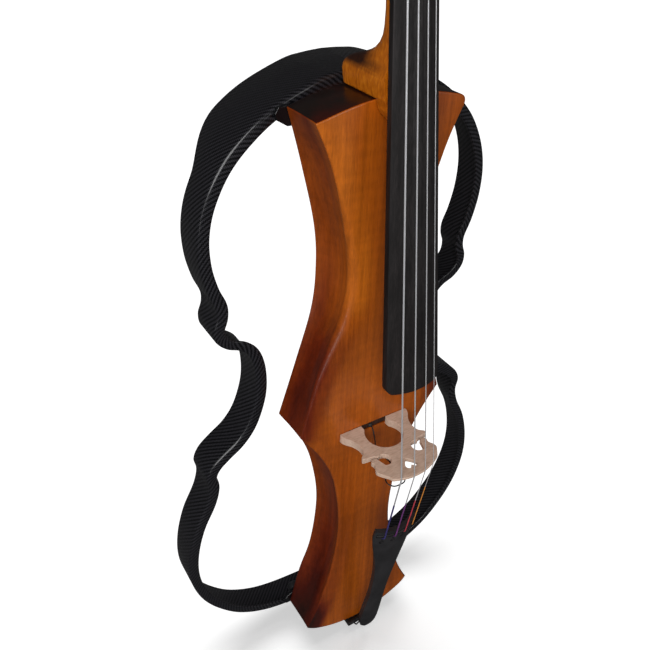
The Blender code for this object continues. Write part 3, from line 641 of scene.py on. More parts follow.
def body_section(up):
    """Half of the horizontal section at one height, from the belly's middle round to the back's middle, as (x, y, stain
    with painted sheen and shade)."""
    front, back = along(HALF_FRONT, up), along(HALF_BACK, up)
    drop, width = ease(EDGE_DROP, up), along(DROP_WIDTH, up)
    radius, scoop, dip = ease(CORNER_ROUND, up), ease(SCOOP, up), ease(BAND_DIP, up)
    edge_stain_and_sheen, side_stain = ease(BELLY_STAIN_AND_SHEEN, up), along(SIDE_STAIN, up)
    side_front_share_and_sheen, valley = along(SIDE_FRONT_SHARE_AND_SHEEN, up), along(VALLEY, up)
    half = []
    flat = front - radius

    def belly(x):
        inward = front - x
        fall = drop * max(0.0, 1 - inward / width) ** 2.2
        near = max(0.0, 1 - abs(inward - 11) / 10)
        return FRONT + fall + dip * near ** 2 * (3 - 2 * near)

    for share in SHARES:
        x = flat * share
        # Where the belly's value is negative this paints a pale sheen band along its edge.
        half.append((x, belly(x), edge_stain_and_sheen * ease(((0, 1), (12, 0.8), (32, 0)), front - x)))
    start = belly(flat)
    for k in range(1, 7):
        a = pi / 2 * k / 6
        half.append((flat + radius * sin(a), start + radius * (1 - cos(a)),
                     # The edge's rounding goes from the belly's value to the side's front value, which paints a
                     # highlight where negative.
                     edge_stain_and_sheen + (side_stain * side_front_share_and_sheen - edge_stain_and_sheen) * k / 6))
    side_start = start + radius
    for k in range(1, 17):
        s = k / 16
        bow = scoop * (4 * s * (1 - s)) ** 0.8
        crease = 0.12 * scoop * max(0.0, 1 - abs(s - CREASE) / 0.12)
        # Painted shade: the side darkens most in its hollow at VALLEY, past its stain; its front takes the front share,
        # a painted highlight where negative.
        tone = ease(((0, side_front_share_and_sheen), (valley, 1.1), (1, 0.9)), s)
        half.append((front + (back - front) * s - bow - crease, side_start + (BACK - BACK_ROUND - side_start) * s,
                     side_stain * tone))
    for k in range(1, 5):
        a = pi / 2 * k / 4
        half.append((back - BACK_ROUND * (1 - cos(a)), BACK - BACK_ROUND + BACK_ROUND * sin(a), side_stain * 0.9))
    for share in reversed(SHARES[:-1]):
        x = (back - BACK_ROUND) * share
        half.append((x, BACK, side_stain * ease(((0, 0.9), (14, 0.5), (40, 0.2)), back - x)))
    return half


def body_rows():
    """Each row's height and how far it is drawn in, with the two ends' edges rounded."""
    edge, steps = 1.4, 4
    levels = [FOOT_UP + 5.3 * k for k in range(1, 70)] + [TIP_UP + 5.44 * k for k in range(63)]
    levels += [CORNER_UP - rise for rise in (15.5, 12, 9.5, 7.5, 6.0, 4.8, 3.8, 2.9, 2.1)]
    turns = [pi / 2 * k / steps for k in range(steps + 1)]
    low = [(FOOT_UP + edge * (1 - sin(a)), edge * (1 - cos(a))) for a in reversed(turns)]
    high = [(CORNER_UP - edge * (1 - sin(a)), edge * (1 - cos(a))) for a in turns]
    return low + [(up, 0.0) for up in levels] + high


def end_bulge(x, up):
    """How far the body's crowned ends stand out beyond their corners."""

    def crowned(most, half, share):
        return most * (1 - (min(abs(x), half) / half) ** 2) * min(1.0, share) ** 1.5

    if up > TOP_CURVE:
        return crowned(TOP_CROWN, CORNER_HALF, (up - TOP_CURVE) / (CORNER_UP - TOP_CURVE))
    if up < FOOT_CURVE:
        return crowned(-FOOT_CROWN, FOOT_HALF, (FOOT_CURVE - up) / (FOOT_CURVE - FOOT_UP))
    return 0.0


def end_faces(start, count):
    """The faces that close an end, over the loop of count points that begins at start: strips from the belly to the
    back, and one face inside each side."""
    flat = len(SHARES) - 1
    middle = count // 2
    right = [(k, middle - k) for k in range(flat + 1)]
    left = [((count - k) % count, middle + k) for k in range(flat + 1)]
    faces = []
    for pairs in (right, left):
        for (a, b), (c, d) in zip(pairs, pairs[1:]):
            faces.append((start + a, start + c, start + d, start + b))
    faces.append(tuple(start + k for k in range(flat, middle - flat + 1)))
    faces.append(tuple(start + k for k in range(middle + flat, count - flat + 1)))
    return faces


def make_body():
    rows, stain = [], []
    for up, inset in body_rows():
        half = body_section(min(max(up, FOOT_UP), CORNER_UP))
        loop = half + [(-x, y, s) for x, y, s in reversed(half[1:-1])]
        count = len(loop)
        # The treble side's top corner is rounded
        beyond = max(0.0, up - (CORNER_UP - TREBLE_ROUND))
        cut = TREBLE_ROUND - sqrt(max(0.0, TREBLE_ROUND ** 2 - beyond ** 2))
        row = []
        for i, (x, y, s) in enumerate(loop):
            before, after = loop[i - 1], loop[(i + 1) % count]
            if inset:
                out = Vector((after[1] - before[1], before[0] - after[0])).normalized()
                x, y = x - out.x * inset, y - out.y * inset
            if x > 0:
                x *= 1 - cut / CORNER_HALF
            row.append((x, y, BASE + up + end_bulge(x, up)))
            # Painted light and shade on the treble side's belly: darker towards the top as painted shade, and kept pale
            # near the foot as painted light.
            if x > 0 and i < len(SHARES):
                s += 0.35 * min(1.0, max(0.0, (up - TOP_CURVE) / 60)) * min(1.0, x / 40)
                s = min(s, 0.15) if up < FOOT_CURVE else s
            # The rounded end edges and the end faces darken to near black: partly stain, partly painted shade.
            stain.append(s + ease(((0.3, 0.0), (1.4, 1.3)), inset))
        rows.append(row)
    points = [p for row in rows for p in row]
    faces = grid_faces(len(rows), count, caps=False)
    faces += end_faces(0, count) + end_faces((len(rows) - 1) * count, count)
    body = add("cello_body", points, faces, M["body"], "instrument", nodes=("body_front", "body_back"),
               slot="spruce_lacquer", attributes={"stain": stain}, smooth=38)
    # Room for the pickup's bar, the electronics and the endpin's socket
    boolean(body, helper_box((-34, FRONT - 3, BASE + BRIDGE_UP - 3.5), (34, FRONT + 4, BASE + BRIDGE_UP + 5.5)))
    boolean(body, helper_box((-37.3, 24.2, BASE + 495.7), (37.3, BACK + 3, BASE + 644.3)))
    boolean(body, helper_drum(11.4, (0, 0, BASE - 5), (0, 0, 1), 44))
    shade(body.data, 38)


# Neck, head and fingerboard

def board_under(up):
    return along(((BOARD_END, -80.5), (NUT_UP, -7.5)), up)


def head_point(distance, forward=0.0):
    return Vector((0.0, -7.2 + distance * sin(HEAD_TILT) + forward * cos(HEAD_TILT),
                   BASE + NUT_UP + distance * cos(HEAD_TILT) - forward * sin(HEAD_TILT)))


def half_loop(half, depth, square, centre, tilt, steps=32):
    """A D-shaped section: a flat front and a back rounded by a superellipse."""
    loop = []
    for k in range(steps + 1):
        angle = -pi / 2 + pi * k / steps
        x = half * abs(sin(angle)) ** (2 / square) * (1 if angle > 0 else -1)
        back = depth * abs(cos(angle)) ** (2 / square)
        loop.append(Vector((x, centre[1] + back * cos(tilt), centre[2] - back * sin(tilt))))
    return loop


def make_neck():
    gap = 0.3
    sections, stain = [], []
    root = ((752, 12.0, -27.5, 14), (756, 17.0, -27.5, 14), (761, 21.5, -27.45, 14), (766, 24.2, -27.4, 14),
            (772.9, 25.3, -27.4, 14))
    heel = ((773.4, 25.8, 27.6, 16), (775, 26.0, 27.9, 16), (780, 26.8, 28.2, 16), (787, 27.6, 28.3, 16),
            (791, 27.2, 27.8, 15), (794, 26.4, 26.6, 13), (796.5, 25.4, 24.6, 11), (799, 24.6, 20.6, 9),
            (801, 24.3, 16.0, 7.5), (803, 24.1, 10.5, 6.2), (805, 23.9, 4.8, 5.0), (807.5, 23.7, -0.8, 4.0),
            (811, 23.4, -6.0, 3.1), (817, 23.1, -11.2, 2.5), (824, 22.8, -14.6, 2.2), (832, 22.6, -16.3, 2.1),
            (845, 22.3, -16.6, 2.0), (860, 22.0, -15.5, 2.0), (900, 21.0, -10.6, 2.0), (950, 19.6, -3.9, 2.0),
            (1000, 18.2, 3.2, 2.0), (1030, 17.5, 8.0, 2.05), (1045, 17.2, 10.5, 2.1))
    for up, half, back, square in root + heel:
        front = board_under(up) + gap
        sections.append(half_loop(half, back - front, square, (0, front, BASE + up), 0))
        # The heel's top is darkened, partly by dark stain and partly as painted shade where it faces away from the
        # light.
        dark = min(1.0, max(0.0, (up - 790) / 6)) * min(1.0, max(0.0, (815 - up) / 9))
        stain += [dark * min(1.0, max(0.0, (p.y + 25) / 20)) for p in sections[-1]]
    pegbox = ((0, 17, 27, 2.6, 6), (7, 18.4, 32, 3.2, 11), (14, 19.5, 36, 4, 16), (22, 20.1, 38, 5.5, 18),
              (30, 20.5, 39, 7, 19), (50, 19.6, 36.8, 7, 19), (70, 18.5, 34, 7, 19), (88, 17.2, 31, 7, 19),
              (105, 16.0, 28, 7, 19), (114, 15.2, 25.5, 6, 19), (122, 14.5, 23, 5, 19))
    shoulder = ((125, 2.5, 14.0, 20.5, 4.5), (127.5, 6.5, 13.0, 16.5, 4), (129, 11.0, 11.5, 12.0, 3.5))
    for distance, half, depth, square, tilt in pegbox:
        sections.append(half_loop(half, depth, square, head_point(distance), radians(tilt)))
        stain += [0.0] * len(sections[-1])
    for distance, recess, half, depth, square in shoulder:
        sections.append(half_loop(half, depth, square, head_point(distance, recess), HEAD_TILT))
        stain += [0.0] * len(sections[-1])
    neck = loft("neck_and_pegbox", sections, M["neck"], "instrument", nodes=("neck",), slot="neck_maple",
                attributes={"stain": stain}, smooth=40)
    slot = [half_loop(10.5, 26, 12, head_point(distance, -4), HEAD_TILT) for distance in (12, 110)]
    boolean(neck, loft("helper", slot, M["gloss"], None))
    shade(neck.data, 40)
    make_scroll()


def make_scroll():
    """The volute: a band that winds inward and widens towards its eye."""
    centre = head_point(139, 9)
    total = 2 * pi * 2.3
    count = 132
    begin = radians(-72)
    widest, narrowing = 24.6, 0.118

    def outer(turn):
        return widest * exp(-narrowing * turn) if turn > 0 else widest - turn * 3

    loops = []
    for k in range(count + 1):
        turn = total * k / count
        angle = begin + turn
        r = outer(turn)
        inner = max(0.6, outer(turn + 2 * pi) - 1.2)
        if k > count - 10:
            inner = min(inner, r * 0.5)
        wide = 13.6 + 11.2 * (turn / total) ** 1.25
        dish = min(2.2, (r - inner) * 0.25)
        flute = 1.3 if r > 9 else 1.3 * 0.5
        across = [(wide * s, r - flute * (1 - (2 * abs(s) - 1) ** 2) - (0.7 if abs(s) > 0.99 else 0))
                  for s in (-1.0, -0.94, -0.8, -0.5, -0.22, 0, 0.22, 0.5, 0.8, 0.94, 1.0)]
        edge = [(wide - dish, r * 0.55 + inner * 0.45), (wide - dish * 0.9, inner)]
        section = across + edge + [(-x, d) for x, d in reversed(edge)]
        loops.append([Vector((x, centre.y + d * cos(angle), centre.z + d * sin(angle))) for x, d in section])
    scroll = loft("scroll", loops, M["neck"], "instrument", slot="neck_maple", smooth=42,
                  attributes={"stain": [0.0] * (len(loops) * len(loops[0]))})
    bevel(scroll, 0.35, 2, 45)
    for side in (-1, 1):
        turned(f"scroll_eye_{'left' if side < 0 else 'right'}", ((5.6, 0), (5.6, 1.2), (5.0, 2.0), (3.4, 2.6), (1.0, 2.8)),
               (side * 22.4, centre.y, centre.z), (side, 0, 0), M["neck"], "instrument", 28, slot="neck_maple")


def arched_loop(half, crown, side_top, under, z, steps=22):
    arch = []
    for k in range(steps + 1):
        x = -half + 2 * half * k / steps
        arch.append((x, crown + (side_top - crown) * (x / half) ** 2, z))
    return arch + [(half, under - 1.6, z), (half - 0.5, under - 0.5, z), (half - 1.6, under, z),
                   (-half + 1.6, under, z), (-half + 0.5, under - 0.5, z), (-half, under - 1.6, z)]


BOARD_HALF, BOARD_NARROWING, BOARD_CORNER = 33.5, 16.5, 7.5


def rounding(radius, rise):
    """How far a rounded end is drawn in at this distance from its tip."""
    return radius * (1 - sqrt(max(0.0, 1 - (1 - min(1.0, rise / radius)) ** 2)))


def board_levels(t):
    """The fingerboard's crown, side and underside, from its wide end (0) to the nut (1)."""
    return -98.8 + 81.8 * t, -90.0 + 75.4 * t, -80.5 + 73.0 * t


def make_fingerboard():
    low, high = BASE + BOARD_END, BASE + NUT_UP - 0.3
    loops = []
    for rise in (0.0, 0.2, 0.5, 0.9, 1.4, 2.0, 2.7, 3.5, 4.4, 5.4, 6.4, 7.5, 10.5):
        soft = rounding(1.0, rise)
        t = rise / (high - low)
        full = BOARD_HALF - BOARD_NARROWING * t
        half = full - rounding(BOARD_CORNER, rise)
        crown, side, under = board_levels(t)
        bow = crown + (side - crown) * (half / full) ** 2
        loops.append(arched_loop(half, crown + soft, bow + soft, under - soft, low + rise))
    for k in range(1, 25):
        t = 10.5 / (high - low) + (1 - 10.5 / (high - low)) * k / 24
        hollow = 0.9 * sin(pi * t)
        crown, side, under = board_levels(t)
        loops.append(arched_loop(BOARD_HALF - BOARD_NARROWING * t, crown + hollow, side + hollow, under,
                                 low + (high - low) * t))
    board = loft("fingerboard_blank", loops, M["ebony"], "instrument", nodes=("fingerboard",), slot="ebony", smooth=50)
    bevel(board, 0.5, 3, 35)


def make_nut():
    z = BASE + NUT_UP
    loops = [arched_loop(16.9, y, y + 2.4, -7.5 + depth, z + rise, 22)
             for y, depth, rise in ((-16.9, 0, 0), (-17.9, 0.2, 0.7), (-18.0, 0.6, 1.8), (-17.0, 1.0, 3.4),
                                    (-14.6, 1.4, 4.3), (-11.6, 1.7, 4.6))]
    loft("string_nut", loops, M["ebony"], "instrument", nodes=("nut",), slot="ebony", smooth=50)


def make_pegs():
    shaft = [(r, r, out) for r, out in ((4.6, 0), (5.2, 0.5), (5.5, 1.6), (5.8, 20), (6.1, 49), (6.5, 50.2), (8.2, 51),
                                        (8.7, 52.4), (8.7, 53.6), (8.0, 55), (6.6, 56.2), (6.2, 58))]
    thumb = [(6.9, 6.4, 60.5), (8.4, 6.5, 63), (10.6, 6.9, 66), (12.6, 6.9, 69.4), (13.6, 6.1, 73), (13.8, 5.2, 76.5),
             (13.4, 4.7, 80.5), (12.1, 4.5, 84.2), (9.6, 4.2, 87.4), (6.4, 3.6, 89.8), (3.0, 2.4, 91.1), (1.0, 0.9, 91.4)]
    angles = [2 * pi * k / 36 for k in range(36)]
    for name, side, distance in zip(NAMES, PEG_SIDE, PEG_ALONG):
        place = head_point(distance, PEG_DEPTH)
        turn = axis_frame((-side * 22, place.y, place.z), (side, 0, 0))
        loops = [[turn @ Vector((wide * cos(a), thin * sin(a), out)) for a in angles] for wide, thin, out in shaft + thumb]
        loft(f"{name}_tuning_peg", loops, M["ebony"], f"{name}_peg", nodes=(f"{name}_peg",), slot="ebony", smooth=50)
        turned(f"{name}_peg_collar", ((8.9, 0), (9.1, 0.4), (9.1, 1.3), (8.9, 1.7)),
               (side * 30.4, place.y, place.z), (side, 0, 0), M["maple"], f"{name}_peg", 36, slot="bridge_maple")


# Bridge, pickup and strings

CROWN_X, CROWN_HEIGHT, CROWN_RADIUS = -3.5, 92.0, 60.0


def crown(x):
    return CROWN_HEIGHT - (x - CROWN_X) ** 2 / (2 * CROWN_RADIUS)


def bridge_half():
    """One side of the bridge's outline, from the arch's top round the foot to the crown's corner."""
    arch = [(23 * sin(a), 22.5 + 22.5 * cos(a)) for a in [radians(7.5 * k) for k in range(17)]]
    leg = flat_spline(((46.5, 4.5), (44.5, 9), (39.2, 17), (36.6, 27), (38.2, 36.5), (44.0, 42)), 5)
    slot = [(44.6, 43.8), (44.0, 45.5), (36.5, 46.6), (31.0, 47.2)]
    eye = [(23 + 7.6 * cos(a), 57 + 8.2 * sin(a)) for a in [radians(-55 - 17.5 * k) for k in range(15)]]
    wing = flat_spline(((31.0, 50.6), (36.5, 50.8), (38.3, 53.5), (37.4, 58.5), (40.5, 64.5), (41.2, 69.0),
                        (37.6, 75), (33.6, 80.5)), 4)
    return arch + [(17.5, 7.5), (17.2, 3.0), (17.5, 0.3), (46.5, 0.3), (46.8, 2.4)] + leg + slot + eye + wing


def make_bridge():
    right = bridge_half()
    left = [(-x, h) for x, h in right[:0:-1]]
    top = [(x, crown(x)) for x in [31.5 - 63 * k / 28 for k in range(29)]]
    outline = right + top + left
    centre = BASE + BRIDGE_UP

    def face(side):
        loop = []
        for x, height in outline:
            thick = along(((0, 5.5), (10, 5.2), (45, 3.6), (93, 1.5)), height)
            loop.append((x, FRONT - height, centre + side * thick))
        return loop

    bridge = loft("bridge_plate", [face(-1), face(1)], M["maple"], "instrument", nodes=("bridge",), slot="bridge_maple",
                  smooth=30)
    heart = flat_spline(((0, 66.8), (4.2, 71.4), (7.2, 76.0), (6.4, 79.8), (3.2, 80.8), (0, 77.4)), 4)
    heart = heart + [(-x, h) for x, h in heart[-2:0:-1]]
    cutter = [[(x - 1, FRONT - h, centre + z) for x, h in heart] for z in (-8, 8)]
    boolean(bridge, loft("helper", cutter, M["gloss"], None))
    shade(bridge.data, 30)
    bevel(bridge, 0.35, 2, 40)


def tail_face(x, up):
    return along(TAIL_CREST, up) + 0.0095 * x * x


def string_route(index):
    x, radius = STRING_X[index], STRING_R[index]
    tail_x, nut_x = x * TAIL_SPREAD, x * NUT_SPREAD
    side, distance = PEG_SIDE[index], PEG_ALONG[index]
    peg = head_point(distance, PEG_DEPTH)
    peg_x = side * 4.0 if distance < 60 else side * 5.5
    nut_z = BASE + NUT_UP
    hole = Vector((tail_x, tail_face(tail_x, HOLE_UP) + 1.6, BASE + HOLE_UP))
    ridge = Vector((tail_x, tail_face(tail_x, FRET_UP) - 2.0 - radius, BASE + FRET_UP))
    over = Vector((x, FRONT - crown(x) - radius + 0.1, BASE + BRIDGE_UP))
    nut = Vector((nut_x, -18.0 + 2.4 * (nut_x / 17) ** 2 - radius, nut_z + 1.5))
    wind = Vector((peg_x, peg.y - 6.4 - radius, peg.z - 1.0))
    return hole, ridge, over, nut, wind, peg


SILK_SHARE = (0.59, 0.56, 0.53, 0.63)  # how far up from the tailpiece to the bridge the coloured silk reaches


def make_strings():
    for index, name in enumerate(NAMES):
        hole, ridge, over, nut, wind, peg = string_route(index)
        r = STRING_R[index]
        body = "instrument"
        silk = M[f"silk_{name}"]
        tail_end = ridge.lerp(over, SILK_SHARE[index])
        high_end = over.lerp(nut, 0.93)
        to_bridge = (over - ridge).normalized()
        route = [tail_end, over - to_bridge * 1.2, over + (nut - over).normalized() * 1.2, high_end]
        tube(f"{name}_string_main", route, r, M["string"], body, 10, nodes=(f"{name}_string",), slot="string_steel")
        low = [hole + Vector((0, 3.0, 2.5)), ridge - Vector((0, -0.6, 1.8)), ridge + to_bridge * 1.5, tail_end]
        tube(f"{name}_silk_low", low, r + 0.12, silk, body, 10, slot="string_steel")
        high = [high_end, nut, nut + (wind - nut) * 0.03, wind]
        tube(f"{name}_silk_high", high, r + 0.1, silk, body, 10, slot="string_steel")
        turned(f"{name}_ball_end", ((r + 0.3, -2.2), (2.2, -1.9), (2.5, -1.0), (2.5, 1.0), (2.2, 1.9), (r + 0.3, 2.2)),
               hole + Vector((0, 3.4, 1.0)), (1, 0, 0), M["ball"], body, 20, slot="nickel")
        side = PEG_SIDE[index]
        turns, wire = 4.5, r + 0.1
        coil = []
        for k in range(int(turns * 20) + 1):
            a = 2 * pi * k / 20
            coil.append((wind.x + side * wire * 2.05 * k / 20, peg.y - (6.2 + wire) * cos(a),
                         peg.z - (6.2 + wire) * sin(a)))
        tube(f"{name}_peg_winding", coil, wire, silk, f"{name}_peg", 8, slot="string_steel")


def make_pickup():
    z = BASE + BRIDGE_UP
    copy_node("pickup_strip", "pickup_bar", M["rosewood"], "instrument", 0.4, 2)
    turned("lead_ferrule", ((1.2, -2.3), (1.3, 0.8), (2.4, 0.85), (2.6, 1.2), (2.5, 1.9), (2.0, 2.5), (1.0, 2.9)),
           (-4, FRONT + 1.0, z + 1), (0, -1, 0), M["rubber"], "instrument", 28, nodes=("pickup_ferrule",), slot="rubber")
    copy_node("sensor_chip", "bridge_pickup", M["piezo"], "instrument", 0.4, 2)
    way = ((-4, -29, 1), (-4.6, -33.5, 0.2), (-6.5, -39.5, -4), (-10.5, -47.5, -5.5), (-15, -55.5, -6.5),
           (-16.5, -66, -7.6), (-13, -78, -8.6), (-15, -90, -9.3), (-23.5, -97, -9.7), (-31.5, -99.5, -9.4),
           (-34, -104.5, -9), (-32.7, -109.2, -9.6), (-28.5, -112.2, -10.8), (-22, -112.2, -12),
           (-15.5, -112.2, -11), (-11.5, -108.5, -9), (-10.8, -104.5, -7.4), (-12.2, -101.8, -5.4), (-14.6, -101.2, -4.4))
    tube("sensor_lead", [(x, y, z + dz) for x, y, dz in spline(way, 6)], 0.75, M["lead"], "instrument", 12,
         nodes=("pickup_lead",), slot="rubber")


# Tailpiece and endpin

HOLE_UP, FRET_UP, GUT_HOLE_UP = 246.0, 260.0, 26.0
GUT_TURN, GUT_DROP = 12.95, -8.0  # radius and height of the tailgut's half turn round the endpin's socket
TAIL_WIDTHS = ((9.5, 6.5), (13.5, 11.5), (21, 14.6), (38, 15.4), (62, 14.6), (100, 13.0), (140, 14.2), (175, 17.5),
               (205, 22.5), (232, 28.0), (252, 31.0), (268, 30.5))
TAIL_CREST = ((9.5, -53.4), (130, -74.0), (268, -98.5))


def make_tailpiece():
    widths = [(p.x, p.y) for p in spline(TAIL_WIDTHS, 5)]
    loops = []
    for up, half in widths:
        thick = along(((9.5, 4.0), (40, 9.0), (200, 8.0), (268, 6.0)), up)
        xs = [half * (-1 + k / 12) for k in range(25)]
        face = [(x, tail_face(x, up) + 1.2 * max(0.0, abs(x) / half - 0.86) / 0.14, BASE + up) for x in xs]
        back = [(x * 0.9, tail_face(x, up) + thick, BASE + up) for x in reversed(xs)]
        loops.append(face + back)
    tail = loft("tailpiece_shell", loops, M["matte"], "instrument", nodes=("tailpiece",), slot="matte_black", smooth=50)
    for x in STRING_X:
        x *= TAIL_SPREAD
        y = tail_face(x, HOLE_UP)
        boolean(tail, helper_drum(3.1, (x, y - 4, BASE + HOLE_UP), (0, 1, 0), 16, 24))
        boolean(tail, helper_box((x - 1.2, y - 4, BASE + HOLE_UP), (x + 1.2, y + 12, BASE + HOLE_UP + 10)))
    for x in (-7, 7):
        boolean(tail, helper_drum(1.8, (x, -62, BASE + GUT_HOLE_UP), (0, 1, 0), 30, 20))
    shade(tail.data, 50)
    bevel(tail, 0.5, 3, 40)
    profile = ((0.1, -2.1), (-0.9, -1.9), (-1.8, -1.1), (-2.1, 0), (-1.8, 1.1), (-1.2, 1.9), (-0.5, 2.1))
    ridge = []
    for k in range(25):
        x = 29.0 * (-1 + k / 12)
        y, z = tail_face(x, FRET_UP), BASE + FRET_UP
        ridge.append([(x, y + rise, z + up) for rise, up in profile])
    loft("string_ridge", ridge, M["ebony"], "instrument", nodes=("tailpiece_fret",), slot="ebony", smooth=50)


def make_endpin():
    z = BASE
    saddle = [[(x, y, z + up) for y, up in ((-18, -0.4), (-30.5, -0.4), (-30.5, 3.0), (-32.5, 3.6), (-34.6, 3.4), (-35.8, 2.0),
                                            (-36, 0.3), (-35.4, -2.6), (-34, -5.2), (-32, -6.0), (-18, -6))]
              for x in (-21, -20.4, -12, 0, 12, 20.4, 21)]
    bevel(loft("end_saddle", saddle, M["ebony"], "instrument", nodes=("bottom_saddle",), slot="ebony", smooth=50), 0.5, 2, 40)
    profile = ((5.3, -13.5), (10.2, -13.5), (11.0, -13.2), (11.5, -12.4), (11.5, -7.0), (12.2, -6.6), (14.4, -6.4), (15.0, -5.8),
               (15.0, -1.2), (14.6, -0.6), (14.0, -0.4), (11.0, -0.4), (11.0, 34), (5.3, 34))
    turned("endpin_collar", profile, (0, 0, z), (0, 0, 1), M["gloss"], "instrument", 48, ring=True,
           nodes=("endpin_socket",), slot="black_plastic")
    turned("endpin_shaft", ((4.2, 8.3), (4.8, 8.7), (5.0, 9.4), (5.0, z + 415), (4.6, z + 417), (4.0, z + 418)),
           (0, 0, 0), (0, 0, 1), M["steel_rod"], "endpin", 40, nodes=("endpin_rod",), slot="nickel")
    turned("endpin_foot", ((3.4, 0), (4.4, 0.4), (5.4, 1.4), (6.2, 3.4), (6.6, 5.2), (6.6, 6.4), (6.4, 7.4), (5.8, 8.0)),
           (0, 0, 0), (0, 0, 1), M["rubber"], "endpin", 40, nodes=("endpin_tip",), slot="rubber")

    def knurl(angle, row):
        return 1 - (0.045 * (0.5 + 0.5 * cos(angle * 18)) if 4 <= row <= 8 else 0.0)

    profile = ((1.5, 5.5), (1.7, 6), (1.7, 15.4), (4.0, 15.5), (5.6, 15.9), (6.0, 16.8), (6.0, 19), (6.0, 22.4),
               (5.6, 23.4), (4.5, 24.0), (2.0, 24.0))
    turned("endpin_clamp_screw", profile, (0, 0, 11.0), (0, 1, 0), M["knob"], "endpin_thumbscrew", 108,
           nodes=("endpin_thumbscrew",), slot="black_plastic", flute=knurl)
    way = ((-7, -53.5, GUT_HOLE_UP), (-7, -47.6, 25.6), (-7.1, -44.6, 19), (-7.3, -40.8, 5), (-8, -37.6, -3.0),
           (-8.6, -35.8, -7.2), (-9.5, -31, -8.6), (-11.6, -20, -8.4), (-12.9, -8, GUT_DROP))
    half_turn = [(-GUT_TURN * cos(a), GUT_TURN * sin(a), GUT_DROP) for a in [radians(10 * k) for k in range(1, 18)]]
    left = [tuple(p) for p in spline(way, 5)] + [(-GUT_TURN, 0, GUT_DROP)]
    route = left + half_turn + [(-x, y, up) for x, y, up in reversed(left)]
    tube("tail_cord", [(x, y, z + up) for x, y, up in route], 1.0, M["lead"], "instrument", 14, nodes=("tailgut",),
         slot="black_plastic")
    for x in (-7, 7):
        profile = ((0.9, -1.6), (1.9, -1.3), (2.3, -0.3), (2.2, 0.8), (1.5, 1.5), (0.5, 1.7))
        turned(f"tail_cord_knot_{'left' if x < 0 else 'right'}", profile, (x, -54.2, z + GUT_HOLE_UP),
               (0, -1, 0), M["lead"], "instrument", 18, slot="black_plastic")


# Wings

WING_OUTLINE = (
    (0.1, 782.3), (22, 781), (46, 777), (90, 760), (122, 739), (149, 712), (168, 678), (176.5, 645), (176.5, 612),
    (170.5, 583), (163, 563), (163, 550), (167.5, 536), (165.5, 521), (154, 508), (138, 500),
    (127, 487), (121.5, 462), (123, 430), (134, 396), (149, 375), (168, 361), (183, 348),
    (190.5, 332), (188.5, 313), (195, 289), (211, 256), (222, 218), (226, 180), (222, 145),
    (210, 110), (190, 78), (163, 49), (128, 28), (90, 17), (40, 11),
)
WING_FRONT, FLANGE, SKIN = 32.0, 12.5, 3.0
TOW = 1.5  # width of one carbon tow
FIXING_X, FIXINGS = 72.0, (("upper", 749.0), ("lower", 36.0))


def wing_profile(rib_back):
    """(inward, y) round the L-shaped section, with a rounded front-outer edge."""
    front = WING_FRONT
    shape = [(0.0, rib_back - 0.7), (0.0, (rib_back + front) / 2), (0.0, front + 4.2)]
    shape += [(4.2 - 4.2 * sin(a), front + 4.2 - 4.2 * cos(a)) for a in [radians(90 - 15 * k) for k in range(1, 7)]]
    shape += [(8.0, front), (FLANGE - 1.0, front), (FLANGE - 0.3, front + 0.3), (FLANGE, front + 1.0), (FLANGE, front + SKIN - 0.7),
              (FLANGE - 0.3, front + SKIN - 0.2), (FLANGE - 1, front + SKIN), (8.0, front + SKIN)]
    shape += [(SKIN + 2.6 - 2.6 * sin(a), front + SKIN + 2.6 - 2.6 * cos(a)) for a in [radians(22.5 * k) for k in range(0, 5)]]
    shape += [(SKIN, (rib_back + front) / 2), (SKIN, rib_back - 0.7), (SKIN - 0.3, rib_back - 0.2), (SKIN - 0.8, rib_back),
              (0.8, rib_back), (0.3, rib_back - 0.2)]
    return shape


def make_wings():
    path = spline(WING_OUTLINE, 6)
    for side, word in ((-1, "left"), (1, "right")):
        loops, along_strip, across_strip = [], [], []
        run_length = 0.0
        for before, point, after in zip([path[0]] + path, path, path[1:] + [path[-1]]):
            run = (after - before).normalized()
            run_length += (point - before).length
            inward = Vector((run.y, -run.x))
            rib_back = ease(((0, 75.0), (690, 75.0), (742, 107.0), (900, 107.0)), point.y)
            loop = []
            for n, y in wing_profile(rib_back):
                x = point.x + inward.x * n if loops else 0.1
                loop.append((side * x, y, BASE + point.y + inward.y * n))
                along_strip.append(run_length / TOW)
                across_strip.append((n - y) / TOW)
            loops.append(loop)
        wing = loft(f"carbon_wing_{word}", loops, M["carbon"], f"wing_{word}", nodes=(f"wing_{word}",), slot="carbon_weave",
                    attributes={"weave_along": along_strip, "weave_across": across_strip}, smooth=50)
        for _, up in FIXINGS:
            boolean(wing, helper_drum(2.6, (side * FIXING_X, WING_FRONT - 1, BASE + up), (0, 1, 0), 6, 24))
        shade(wing.data, 50)


def make_fixings():
    def lobes(angle, row):
        return 1 - (0.10 * (0.5 - 0.5 * cos(angle * 6)) if 5 <= row <= 9 else 0.0)

    profile = ((1.6, -16.4), (2.2, -15.4), (2.2, 3.6), (4.0, 3.7), (7.2, 3.9), (8.3, 4.8), (8.5, 6.0), (8.5, 9),
               (8.5, 11.6), (8.1, 13.0), (7.0, 13.7), (4.2, 13.8), (3.8, 13.2), (1.0, 13.0))
    for side, word in ((-1, "left"), (1, "right")):
        for place, up in FIXINGS:
            copy_node(f"{place}_{word}_clip", f"{place}_{word}_bracket", M["gloss"], f"wing_{word}", 0.9, 3)
            turned(f"{place}_{word}_wing_screw", profile, (side * FIXING_X, WING_FRONT, BASE + up), (0, 1, 0), M["knob"],
                   f"{place}_{word}_thumbscrew", 72, nodes=(f"{place}_{word}_thumbscrew",), slot="black_plastic", flute=lobes)


# Electronics on the back

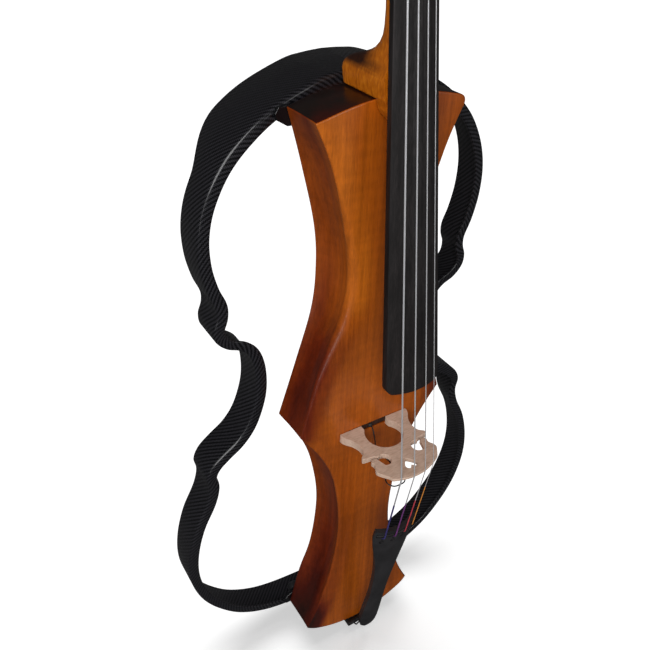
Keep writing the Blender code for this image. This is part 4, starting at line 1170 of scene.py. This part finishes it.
def make_electronics():
    copy_node("rear_cover", "back_cover", M["matte"], "instrument", 0.35, 2)
    copy_node("battery_lid", "battery_door", M["matte"], "battery_door", 0.5, 3)
    copy_node("battery_case", "battery", M["battery"], "instrument", 1.2, 3)
    for node, key in (("circuit_board", "board"), ("volume_potentiometer", "nickel"), ("bass_potentiometer", "nickel"),
                      ("treble_potentiometer", "nickel")):
        CAD[node].data.materials.clear()
        CAD[node].data.materials.append(M[key])

    def ribs(angle, row):
        return 1 - (0.035 * (0.5 + 0.5 * cos(angle * 24)) if 4 <= row <= 7 else 0.0)

    profile = ((2.9, 24.3), (2.9, 27.4), (6.4, 27.5), (7.1, 27.8), (7.2, 28.6), (7.2, 31), (7.15, 34), (7.1, 37.2),
               (6.9, 38.4), (6.3, 39.2), (5.2, 39.5), (4.8, 39.1), (1.0, 39.0))
    for name, x in (("volume", -17.0), ("bass", 0.0), ("treble", 17.0)):
        turned(f"{name}_dial", profile, (x, 0, 640), (0, 1, 0), M["knob"], f"{name}_knob", 96, nodes=(f"{name}_knob",),
               slot="black_plastic", flute=ribs)
        mark = helper_box((x - 0.35, 38.6, 643.0), (x + 0.35, 39.45, 646.4))
        mark.name = f"{name}_dial_mark"
        mark.data.materials[0] = M["piezo"]
        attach(mark, f"{name}_knob")
    for name, x, hole in (("output_jack", -14.0, 4.6), ("headphone_jack", 14.0, 3.2)):
        profile = [(hole + wider, y) for wider, y in ((-1.2, 28.9), (-0.9, 29.2), (1.2, 29.2), (1.3, 28.9), (2.1, 28.8),
                                                      (2.4, 28.5), (2.4, 27.2), (1.3, 27.1), (1.3, 6.0), (-1.2, 6.0))]
        turned(f"{name}_bush", profile, (x, 0, 542), (0, 1, 0), M["nickel"], "instrument", 48, ring=True,
               nodes=(name,), slot="nickel")
    profile = ((1.1, 24.8), (1.1, 27.0), (2.3, 27.0), (2.6, 27.2), (2.5, 27.7), (2.0, 28.1), (0.8, 28.2))
    for place, z in (("lower", 520.0), ("upper", 664.0)):
        for word, x in (("left", -35.0), ("right", 35.0)):
            screw = turned(f"{place}_{word}_cover_screw", profile, (x, 0, z), (0, 1, 0), M["nickel"], "instrument", 28,
                           nodes=(f"cover_screw_{place}_{word}",), slot="nickel")
            boolean(screw, helper_box((x - 1.5, 27.6, z - 0.28), (x + 1.5, 28.6, z + 0.28)))
            boolean(screw, helper_box((x - 0.28, 27.6, z - 1.5), (x + 0.28, 28.6, z + 1.5)))


place_camera()
light_scene()
make_materials()
make_body()
make_neck()
make_fingerboard()
make_nut()
make_pegs()
make_bridge()
make_strings()
make_pickup()
make_tailpiece()
make_endpin()
make_wings()
make_fixings()
make_electronics()
